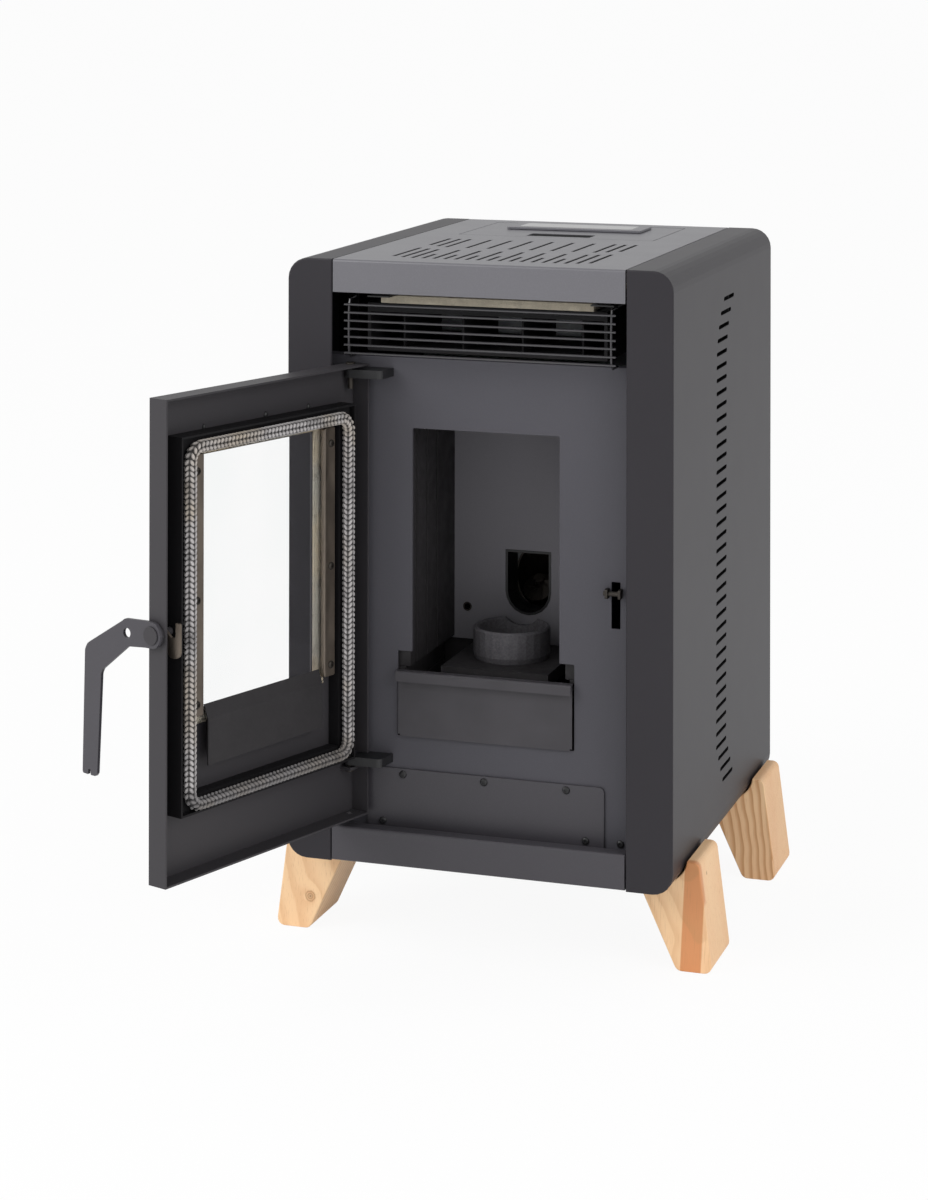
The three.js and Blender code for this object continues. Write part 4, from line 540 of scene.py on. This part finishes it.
# ---- geometry nodes ---------------------------------------------------------
class Growing(Nodes):
    """A geometry node tree with named inputs, one geometry in and one out."""

    def __init__(self, name, inputs):
        super().__init__(bpy.data.node_groups.new(name, "GeometryNodeTree"))
        face = self.tree.interface
        face.new_socket("Geometry", in_out="INPUT", socket_type="NodeSocketGeometry")
        self.keys = {
            label: face.new_socket(label, in_out="INPUT", socket_type="NodeSocket" + kind).identifier
            for label, kind in inputs.items()}
        face.new_socket("Geometry", in_out="OUTPUT", socket_type="NodeSocketGeometry")
        self.start = self.add("NodeGroupInput")
        self.end = self.add("NodeGroupOutput")

    def finish(self, geometry):
        """Every tree ends in plain geometry that wears its finish."""
        real = self.add("GeometryNodeRealizeInstances", Geometry=geometry)
        worn = self.add("GeometryNodeSetMaterial", Geometry=real.outputs[0],
                        Material=self.start.outputs["Finish"])
        self.tree.links.new(worn.outputs[0], self.end.inputs[0])

    def grow(self, base, name, **values):
        """Runs the tree on an object, drops the object and returns the result as a plain mesh piece."""
        modifier = base.modifiers.new(name, "NODES")
        modifier.node_group = self.tree
        for label, value in values.items():
            modifier[self.keys[label]] = value
        base.update_tag()
        graph = bpy.context.evaluated_depsgraph_get()
        mesh = bpy.data.meshes.new_from_object(base.evaluated_get(graph), depsgraph=graph)
        base.modifiers.remove(modifier)
        bpy.data.objects.remove(base)
        if not mesh or not mesh.polygons:
            raise RuntimeError(name + " came out empty")
        mesh.name = name
        return link_mesh(name, mesh)


def screw_tree():
    """A screw head on each point, turned to face its normal and spun a little by chance."""
    tree = Growing("screw_heads", {"Finish": "Material", "Head": "Object", "Seed": "Int"})
    points = tree.add("GeometryNodeMeshToPoints", Mesh=tree.start.outputs["Geometry"])
    way = tree.add("GeometryNodeInputNamedAttribute", {"data_type": "FLOAT_VECTOR"}, Name="facing")
    aim = tree.add("FunctionNodeAlignRotationToVector", {"axis": "Z"}, Vector=way.outputs[0])
    chance = tree.add("FunctionNodeRandomValue", {"data_type": "FLOAT"}, Seed=tree.start.outputs["Seed"])
    chance.inputs[3].default_value = 6.28
    spin = tree.add("FunctionNodeAxisAngleToRotation", Axis=(0, 0, 1), Angle=chance.outputs[1])
    turned = tree.add("FunctionNodeRotateRotation", {"rotation_space": "LOCAL"}, Rotation=aim.outputs[0])
    tree.feed(turned.inputs[1], spin.outputs[0])
    head = tree.add("GeometryNodeObjectInfo", Object=tree.start.outputs["Head"])
    placed = tree.add("GeometryNodeInstanceOnPoints", Points=points.outputs[0],
                      Instance=head.outputs["Geometry"], Rotation=turned.outputs[0])
    tree.finish(placed.outputs[0])
    return tree


def seeds(name, points):
    """A mesh of loose points, each with the direction that it faces."""
    mesh = bpy.data.meshes.new(name)
    mesh.from_pydata([tuple(place) for place, _ in points], [], [])
    ways = mesh.attributes.new("facing", "FLOAT_VECTOR", "POINT")
    ways.data.foreach_set("vector", [c for _, way in points for c in Vector(way).normalized()])
    return link_mesh(name, mesh)


def screw_head(name, radius, height):
    """A domed head with a washer rim and a cross slot."""
    slot = radius * 0.42

    def build(shape):
        lathe(shape, [
            (0, -0.2 * height), (radius, -0.2 * height), (radius * 1.02, height * 0.15),
            (radius * 0.97, height * 0.4), (radius * 0.82, height * 0.78), (slot * 1.25, height),
            (slot, height * 0.97), (slot * 0.96, height * 0.45), (0, height * 0.4)], 24, Matrix.Identity(4))
        for vert in shape.verts:
            if 1e-6 < vert.co.xy.length < slot * 1.1 and vert.co.z > height * 0.3:
                vert.co.xy *= 1 + 0.16 * math.cos(4 * math.atan2(vert.co.y, vert.co.x))

    return closed_mesh(name, build)


def plait_tree(upright):
    """Short bulging stitches in columns round a closed path, leaning left and right by turns, about a core."""
    tree = Growing("plaited_rope", {
        "Finish": "Material", "Columns": "Int", "Stations": "Int", "Radius": "Float", "Length": "Float",
        "Width": "Float", "Rise": "Float", "Lean": "Float"})
    given = tree.start.outputs
    path = tree.add("GeometryNodeResampleCurve", Curve=given["Geometry"], Count=given["Stations"])
    copies = tree.add("GeometryNodeDuplicateElements", {"domain": "SPLINE"}, Geometry=path.outputs[0],
                      Amount=given["Columns"])
    number = tree.add("GeometryNodeCaptureAttribute", {"domain": "CURVE"}, Geometry=copies.outputs[0])
    number.capture_items.new("INT", "Number")
    tree.feed(number.inputs["Number"], copies.outputs["Duplicate Index"])
    index = number.outputs["Number"]
    way = tree.maths("SUBTRACT", tree.maths("MULTIPLY", tree.maths("MODULO", index, 2.0), 2.0), 1.0)
    turned = tree.maths("DIVIDE", tree.maths("ADD", index, 0.5), given["Columns"])
    angle = tree.maths("MULTIPLY", turned, math.tau)
    tangent = tree.add("GeometryNodeInputTangent").outputs[0]
    above = tree.add("FunctionNodeInputVector", {"vector": tuple(upright)}).outputs[0]
    side = tree.vector("NORMALIZE", tree.vector("CROSS_PRODUCT", tangent, above))
    outward = tree.vector("ADD", tree.vector("SCALE", above, scale=tree.maths("COSINE", angle)),
                          tree.vector("SCALE", side, scale=tree.maths("SINE", angle)))
    across = tree.vector("CROSS_PRODUCT", outward, tangent)
    lean = tree.maths("MULTIPLY", tree.maths("SINE", given["Lean"]), way)
    along = tree.vector("ADD", tree.vector("SCALE", tangent, scale=tree.maths("COSINE", given["Lean"])),
                        tree.vector("SCALE", across, scale=lean))
    held = tree.add("GeometryNodeCaptureAttribute", {"domain": "POINT"}, Geometry=number.outputs["Geometry"])
    held.capture_items.new("VECTOR", "Outward")
    held.capture_items.new("VECTOR", "Along")
    tree.feed(held.inputs["Outward"], outward)
    tree.feed(held.inputs["Along"], along)
    moved = tree.add("GeometryNodeSetPosition", Geometry=held.outputs["Geometry"],
                     Offset=tree.vector("SCALE", held.outputs["Outward"], scale=given["Radius"]))
    ball = tree.add("GeometryNodeMeshUVSphere", Segments=10, Rings=6, Radius=1.0)
    place = tree.add("ShaderNodeSeparateXYZ", Vector=tree.add("GeometryNodeInputPosition").outputs[0])
    # crest, each stitch's own height, is what the rope's finish darkens by as painted shade
    stitch = tree.add("GeometryNodeStoreNamedAttribute", {"data_type": "FLOAT", "domain": "POINT"},
                      Geometry=ball.outputs[0], Name="crest", Value=place.outputs["Z"])
    turn = tree.add("FunctionNodeAxesToRotation", {"primary_axis": "Z", "secondary_axis": "X"})
    tree.feed(turn.inputs[0], held.outputs["Outward"])
    tree.feed(turn.inputs[1], held.outputs["Along"])
    size = tree.add("ShaderNodeCombineXYZ", X=given["Length"], Y=given["Width"], Z=given["Rise"])
    laid = tree.add("GeometryNodeInstanceOnPoints", Points=moved.outputs[0], Instance=stitch.outputs[0],
                    Rotation=turn.outputs[0], Scale=size.outputs[0])
    plain = tree.add("GeometryNodeRealizeInstances", Geometry=laid.outputs[0])
    core_ring = tree.add("GeometryNodeCurvePrimitiveCircle", {"mode": "RADIUS"}, Resolution=10,
                         Radius=tree.maths("MULTIPLY", given["Radius"], 0.9))
    core_path = tree.add("GeometryNodeResampleCurve", Curve=given["Geometry"], Count=160)
    core = tree.add("GeometryNodeCurveToMesh", Curve=core_path.outputs[0])
    tree.feed(core.inputs["Profile Curve"], core_ring.outputs[0])
    # the core gets crest -1, which takes the darkest painted shade
    deep = tree.add("GeometryNodeStoreNamedAttribute", {"data_type": "FLOAT", "domain": "POINT"},
                    Geometry=core.outputs[0], Name="crest", Value=-1.0)
    both = tree.add("GeometryNodeJoinGeometry", Geometry=plain.outputs[0])
    tree.feed(both.inputs[0], deep.outputs[0])
    soft = tree.add("GeometryNodeSetShadeSmooth", Geometry=both.outputs[0])
    tree.finish(soft.outputs[0])
    return tree


def round_corners(half, tall, radius, steps, inset=0.0):
    """The arcs of a rectangle's four corners about (0, 0), a list of points for each."""
    arcs = []
    for sx, sy, start in ((1, 1, 0), (-1, 1, 90), (-1, -1, 180), (1, -1, 270)):
        turns = (math.radians(start + 90 * k / steps) for k in range(steps + 1))
        arcs.append([(sx * (half - radius) + (radius - inset) * math.cos(t),
                      sy * (tall - radius) + (radius - inset) * math.sin(t)) for t in turns])
    return arcs


def part_way(here, goal, share):
    """The point that lies a share of the way from here to goal."""
    return tuple(a + (b - a) * share for a, b in zip(here, goal))


def round_route(width, bottom, top, corner, depth, step=2.0):
    """Points on the door along a rectangle with round corners, evenly spaced. Millimetres in, metres out."""
    arcs = round_corners(width / 2, (top - bottom) / 2, corner, 8)
    route = []
    for arc, following in zip(arcs, arcs[1:] + arcs[:1]):
        count = int(math.dist(arc[-1], following[0]) / step)
        route += arc + [part_way(arc[-1], following[0], k / count) for k in range(1, count)]
    return [door_point(DOOR_MIDDLE + x, depth, (top + bottom) / 2 + z) for x, z in route]


def closed_curve(name, points):
    """A closed path of straight steps."""
    curve = bpy.data.curves.new(name, "CURVE")
    curve.dimensions = "3D"
    spline = curve.splines.new("POLY")
    spline.points.add(len(points) - 1)
    for point, place in zip(spline.points, points):
        point.co = (*place, 1)
    spline.use_cyclic_u = True
    holder = bpy.data.objects.new(name, curve)
    bpy.context.scene.collection.objects.link(holder)
    return holder


# ---- what a user would change -----------------------------------------------
def tint(label, words, colour):
    """A colour that a user can change, given as 0 to 255."""
    return bpy.props.FloatVectorProperty(
        name=label, description=words, default=srgb(*colour), subtype="COLOR", size=3, min=0.0, max=1.0)


def length(label, words, value):
    """A length that a user can change, in metres."""
    return bpy.props.FloatProperty(
        name=label, description=words, default=value, min=0.0, subtype="DISTANCE", unit="LENGTH")


def amount(label, words, value, **kind):
    """A number that a user can change."""
    return bpy.props.FloatProperty(name=label, description=words, default=value, **kind)


def whole(label, words, value, low, high):
    """A whole number that a user can change."""
    return bpy.props.IntProperty(name=label, description=words, default=value, min=low, max=high)


class StoveFinishes(bpy.types.PropertyGroup):
    """Colours of the stove's paints and of its feet."""
    side: tint("Side paint", "Satin paint of the side panels and of the door", (49, 47, 51))
    top: tint("Top paint", "Textured paint of the top and of the lid", (93, 92, 98))
    plate: tint("Plate paint", "Matt paint of the plate round the fire", (79, 78, 84))
    inner: tint("Inner paint", "Fired paint inside the fire chamber", (44, 42, 44))
    wood_light: tint("Early wood", "Pale wood between the rings of the feet", (255, 216, 170))
    wood_dark: tint("Late wood", "Dark line of each ring", (234, 168, 112))
    wood_shadow: tint("Warm wood", "Broad warmer areas of the wood", (242, 182, 132))


class StoveRope(bpy.types.PropertyGroup):
    """Sizes of the rope gasket on the door."""
    radius: length("Stitch radius", "Distance of the stitches' middles from the rope's own middle", 0.0046)
    stitch: length("Stitch half length", "Half of a stitch's length along its yarn", 0.0038)
    width: length("Stitch half width", "Half of a stitch's width", 0.0020)
    rise: length("Stitch half rise", "Half of a stitch's thickness", 0.0021)
    lean: amount("Stitch lean", "How far a stitch leans from the rope's own way", 0.62, subtype="ANGLE")
    columns: whole("Columns", "Columns of stitches round the rope", 6, 4, 16)
    stations: whole("Stitches", "Stitches in a column, round the whole rope", 214, 60, 400)


class StoveTrim(bpy.types.PropertyGroup):
    """Sizes of the small fixings."""
    screw: length("Screw radius", "Radius of a sheet screw's head", 0.0041)
    rise: length("Screw rise", "Height of a sheet screw's head", 0.0021)
    bead: length("Weld bead", "Half width of a weld spot", 0.0028)


class StoveStudio(bpy.types.PropertyGroup):
    """The floor, the lamps and the camera."""
    floor: tint("Floor", "Floor and backdrop", (250, 250, 250))
    key: amount("Key lamp", "Power of the large soft lamp", 95.0, subtype="POWER")
    fill: amount("Fill lamp", "Power of the lamp on the right", 38.0, subtype="POWER")
    sky: amount("Room light", "Strength of the light all round", 0.62, min=0.0)
    lens: amount("Focal length", "Lens of the camera", 86.197, unit="CAMERA")
    rise: amount("Vertical shift", "Vertical shift of the camera", -0.55097)


# ---- the stove's pieces -----------------------------------------------------
class STOVE_OT_finishes(bpy.types.Operator):
    """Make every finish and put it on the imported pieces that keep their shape"""
    bl_idname = "stove.finishes"
    bl_label = "Paints, metals and glass"

    def execute(self, context):
        make_finishes()
        for finish, nodes in WORN_BY.items():
            for node in nodes:
                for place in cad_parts[node].material_slots:
                    place.material = FINISHES[finish]
        return {"FINISHED"}


class STOVE_OT_rope(bpy.types.Operator):
    """Plait the rope gasket along its seat in the door"""
    bl_idname = "stove.rope"
    bl_label = "Rope gasket"

    def execute(self, context):
        sizes = context.scene.stove_rope
        route = round_route(width=244, bottom=120.7, top=475.7, corner=14, depth=14.3)
        tree = plait_tree(door_turn((0, 1, 0)))
        rope = tree.grow(closed_curve("rope_path", route), "rope_plait", Finish=FINISHES["rope"],
                         Columns=sizes.columns, Stations=sizes.stations, Radius=sizes.radius,
                         Length=sizes.stitch, Width=sizes.width, Rise=sizes.rise, Lean=sizes.lean)
        wear(rope, "rope", "fire_door", replaced=["rope_gasket"])
        return {"FINISHED"}


class STOVE_OT_tape(bpy.types.Operator):
    """Lay the woven tape between the pane and the door's skin"""
    bl_idname = "stove.tape"
    bl_label = "Glass tape"

    def execute(self, context):
        back, face, rib = -6.65, -4.75, 0.14
        outer = [(-98, 195), (98, 195), (98, 468), (-98, 468)]
        inner = [(-86, 207), (86, 207), (86, 463), (-86, 463)]
        across, pitch = 5, 3.0
        # The loops cross the face from the outer edge to the inner one, and come back behind it.
        parts = [step / across for step in range(across + 1)]
        rows = [(part, face, -rib) for part in parts] + [(part, back, rib) for part in reversed(parts)]

        def build(shape):
            loops = []
            for step, (part, depth, raised) in enumerate(rows):
                loop = []
                corners = [part_way(*pair, part) for pair in zip(outer, inner)]
                for side in range(4):
                    after = (side + 1) % 4
                    count = int(math.dist(outer[side], outer[after]) / pitch)
                    for k in range(count):
                        x, z = part_way(corners[side], corners[after], k / count)
                        y = depth + raised * ((k + step) % 2)
                        loop.append(shape.verts.new(door_point(DOOR_MIDDLE + x, y, z)))
                loops.append(loop)
            for first, second in zip(loops, loops[1:] + loops[:1]):
                skin(shape, first, second)

        tape = closed_mesh("glass_tape", build)
        smooth(tape, 60)
        wear(tape, "tape", "fire_door", replaced=["glass_gasket"])
        return {"FINISHED"}


# The body, the finish and the slot of each group of screws, and where each screw sits and the way it faces.
FORWARD, BACKWARD, UPWARD = (0, -1, 0), (0, 1, 0), (0, 0, 1)
SCREWS = {
    "cover_screws": ("casing", "black_steel", "black_steel", [
        (casing_point(x, 29.2, z), FORWARD)
        for x, z in ((-91, 90), (-0.5, 90), (90, 90), (-113.5, 39), (111, 39))]),
    "plate_rivet": ("casing", "black_steel", "black_steel", [(casing_point(148.3, 31.5, 38.6), FORWARD)]),
    "retainer_screws": ("fire_door", "worn_steel", "bright_steel", [
        (door_point(DOOR_MIDDLE + x, 5.9, z), door_turn(BACKWARD))
        for x in (-103, 103) for z in (216, 320, 449)]),
    "bracket_screws": ("casing", "black_steel", "black_steel", [
        (casing_point(x, 24, 601.1), UPWARD) for x in (-119, -108, 127.5, 138.5)]),
}


class STOVE_OT_screws(bpy.types.Operator):
    """Set the heads of the sheet screws where the plates are fixed"""
    bl_idname = "stove.screws"
    bl_label = "Screws"

    def execute(self, context):
        trim = context.scene.stove_trim
        low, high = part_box("back_panel")
        edge = 9 * MM
        back = [(Vector((x, high[1], low[2] + (high[2] - low[2]) * part)), BACKWARD)
                for x in (low[0] + edge, high[0] - edge) for part in (0.04, 0.27, 0.5, 0.73, 0.96)]
        groups = dict(SCREWS, back_screws=("casing", "bright_steel", "bright_steel", back))
        tree = screw_tree()
        for number, (name, (body, finish, slot, points)) in enumerate(groups.items()):
            head = screw_head(name + "_head", trim.screw, trim.rise)
            heads = tree.grow(seeds(name + "_points", points), name,
                              Finish=FINISHES[finish], Head=head, Seed=number)
            bpy.data.objects.remove(head)
            smooth(heads, 35)
            wear(heads, finish, body)
        return {"FINISHED"}


class STOVE_OT_display(bpy.types.Operator):
    """Set the dark glossy pane in the control plate on the lid"""
    bl_idname = "stove.display"
    bl_label = "Control pane"

    def execute(self, context):
        low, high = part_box("control_panel")
        middle = (Vector(low) + Vector(high)) / 2
        radius, bevel = 4 * MM, 0.25 * MM
        sunk, shoulder, proud = 0.5 * MM, 0.05 * MM, 0.12 * MM

        def build(shape):
            loops = []
            for rise, inset in ((-sunk, 0), (-shoulder, 0), (proud, bevel)):
                arcs = round_corners(68 * MM, 20 * MM, radius, 6, inset)
                loops.append([shape.verts.new((middle[0] + x, middle[1] + y, high[2] + rise))
                              for arc in arcs for x, y in arc])
            for first, second in zip(loops, loops[1:]):
                skin(shape, first, second)
            shape.faces.new(loops[0][::-1])
            shape.faces.new(loops[-1])

        wear(closed_mesh("control_pane", build), "gloss_black", "lid")
        return {"FINISHED"}


# Weld spots above and below the rope's frame, in the door's x and z, and their shape in half widths.
WELDS = [(61, 488.6), (128, 488.9), (222, 488.4),
         (47, 110.6), (88, 110.3), (149, 110.8), (203, 110.5), (238, 110.9)]
BEAD_PROFILE = [(0, -0.4), (1, -0.4), (0.93, 0.25), (0.6, 0.6), (0.22, 0.72), (0, 0.68)]


class STOVE_OT_welds(bpy.types.Operator):
    """Run the weld spots that hold the rope's frame to the door's skin"""
    bl_idname = "stove.welds"
    bl_label = "Weld spots"

    def execute(self, context):
        half = context.scene.stove_trim.bead

        def build(shape):
            profile = [(radius * half, height * half) for radius, height in BEAD_PROFILE]
            for number, (x, z) in enumerate(WELDS):
                spot = facing(door_point(x, DOOR_FACE + 2.0, z), door_turn(BACKWARD))
                stretch = Matrix.Diagonal((1.0 + 0.25 * math.sin(number * 2.3), 1.5, 1.0, 1.0))
                lathe(shape, profile, 12, spot @ stretch)

        beads = closed_mesh("weld_spots", build)
        smooth(beads, 60)
        wear(beads, "black_steel", "fire_door")
        return {"FINISHED"}


# ---- studio -----------------------------------------------------------------
# The share of plain white in the floor as seen, and in the floor and the room as mirrored.
FLOOR_WHITE, FLOOR_MIRRORED, ROOM_MIRRORED = 0.93, 0.5, 0.3
CAMERA_PLACE = casing_point(926.4, -2862.2, 974.8)
CAMERA_YAW, CAMERA_PITCH, CAMERA_ROLL = (math.radians(angle) for angle in (18.197, -0.113, 0.097))


def outside_light(tree, mirrored):
    """1 for rays that see the surroundings, also through glass, and a share for those that mirror them."""
    path = tree.add("ShaderNodeLightPath").outputs
    seen = tree.maths("MAXIMUM", path["Is Camera Ray"], tree.maths("MULTIPLY", path["Is Glossy Ray"], mirrored))
    return tree.maths("MAXIMUM", seen, path["Is Transmission Ray"])


class STOVE_OT_studio(bpy.types.Operator):
    """Lay the pale floor, hang the soft lamps and place the camera"""
    bl_idname = "stove.studio"
    bl_label = "Floor, lamps and camera"

    def execute(self, context):
        studio = context.scene.stove_studio
        self.floor(studio)
        self.room(context, studio)
        self.lamp("key_lamp", place=(-2.7, -2.8, 2.8), target=(0, 0, 0.4), size=2.6, power=studio.key)
        self.lamp("fill_lamp", place=(3.2, -1.6, 2.0), target=(0.1, 0, 0.35), size=2.2, power=studio.fill)
        self.camera(context, studio)
        return {"FINISHED"}

    def mix(self, owner, output, amount, plain, seen):
        """Ends a floor's or a world's tree in two shaders, plain for the light and seen for the eye."""
        tree = Nodes(owner.node_tree)
        tree.tree.nodes.clear()
        shaders = [tree.add(kind, **values).outputs[0] for kind, values in (plain, seen)]
        mixed = tree.add("ShaderNodeMixShader", Fac=amount(tree))
        tree.feed(mixed.inputs[1], shaders[0])
        tree.feed(mixed.inputs[2], shaders[1])
        tree.add(output, Surface=mixed.outputs[0])

    def floor(self, studio):
        material = bpy.data.materials.new("studio_floor")
        material.use_nodes = True
        self.mix(material, "ShaderNodeOutputMaterial",
                 lambda tree: tree.maths("MULTIPLY", outside_light(tree, FLOOR_MIRRORED), FLOOR_WHITE),
                 ("ShaderNodeBsdfDiffuse", {"Color": tuple(studio.floor)}),
                 ("ShaderNodeEmission", {"Color": (1, 1, 1), "Strength": 1.0}))

        def build(shape):
            bmesh.ops.create_circle(shape, cap_ends=True, radius=70.0, segments=96)

        floor = closed_mesh("studio_floor", build)
        floor.data.materials.append(material)

    def room(self, context, studio):
        world = bpy.data.worlds.new("studio_room")
        world.use_nodes = True
        self.mix(world, "ShaderNodeOutputWorld", lambda tree: outside_light(tree, ROOM_MIRRORED),
                 ("ShaderNodeBackground", {"Color": (1, 1, 1), "Strength": studio.sky}),
                 ("ShaderNodeBackground", {"Color": (1, 1, 1), "Strength": 1.0}))
        context.scene.world = world

    def lamp(self, name, place, target, size, power):
        light = bpy.data.lights.new(name, "AREA")
        light.shape = "SQUARE"
        light.size = size
        light.energy = power
        lamp = bpy.data.objects.new(name, light)
        bpy.context.scene.collection.objects.link(lamp)
        lamp.location = place
        lamp.rotation_euler = (Vector(target) - Vector(place)).to_track_quat("-Z", "Y").to_euler()

    def camera(self, context, studio):
        level = Vector((math.cos(CAMERA_YAW), math.sin(CAMERA_YAW), 0))
        ahead = Vector((-level.y, level.x, 0)) * math.cos(CAMERA_PITCH) - Vector((0, 0, math.sin(CAMERA_PITCH)))
        upper = level.cross(ahead)
        right = level * math.cos(CAMERA_ROLL) + upper * math.sin(CAMERA_ROLL)
        up = upper * math.cos(CAMERA_ROLL) - level * math.sin(CAMERA_ROLL)
        data = bpy.data.cameras.new("camera")
        data.sensor_width = 36.0
        data.lens = studio.lens
        data.shift_y = studio.rise
        data.clip_end = 200.0
        camera = bpy.data.objects.new("camera", data)
        context.scene.collection.objects.link(camera)
        turn = Matrix((right, up, -ahead)).transposed().to_4x4()
        camera.matrix_world = Matrix.Translation(CAMERA_PLACE) @ turn
        context.scene.camera = camera
        context.scene.view_settings.view_transform = "Standard"


class STOVE_PT_sidebar(bpy.types.Panel):
    """The stove's sizes and colours, and the steps that make it"""
    bl_idname = "STOVE_PT_sidebar"
    bl_label = "Pellet stove"
    bl_space_type = "VIEW_3D"
    bl_region_type = "UI"
    bl_category = "Stove"

    def draw(self, context):
        for name, kind in GROUPS.items():
            box = self.layout.box()
            group = getattr(context.scene, name)
            for key in kind.__annotations__:
                box.prop(group, key)
        for step in STEPS:
            self.layout.operator(step.bl_idname)


GROUPS = {
    "stove_finishes": StoveFinishes, "stove_rope": StoveRope,
    "stove_trim": StoveTrim, "stove_studio": StoveStudio}
STEPS = (STOVE_OT_studio, STOVE_OT_finishes, STOVE_OT_rope, STOVE_OT_tape, STOVE_OT_screws, STOVE_OT_display,
         STOVE_OT_welds)


def register():
    for kind in (*GROUPS.values(), *STEPS, STOVE_PT_sidebar):
        bpy.utils.register_class(kind)
    for name, kind in GROUPS.items():
        setattr(bpy.types.Scene, name, bpy.props.PointerProperty(type=kind))


def unregister():
    for name in GROUPS:
        delattr(bpy.types.Scene, name)
    for kind in reversed((*GROUPS.values(), *STEPS, STOVE_PT_sidebar)):
        bpy.utils.unregister_class(kind)


def main():
    register()
    bpy.ops.stove.studio()
    bpy.ops.stove.finishes()
    bpy.ops.stove.rope()
    bpy.ops.stove.tape()
    bpy.ops.stove.screws()
    bpy.ops.stove.display()
    bpy.ops.stove.welds()


if __name__ == "__main__":
    main()
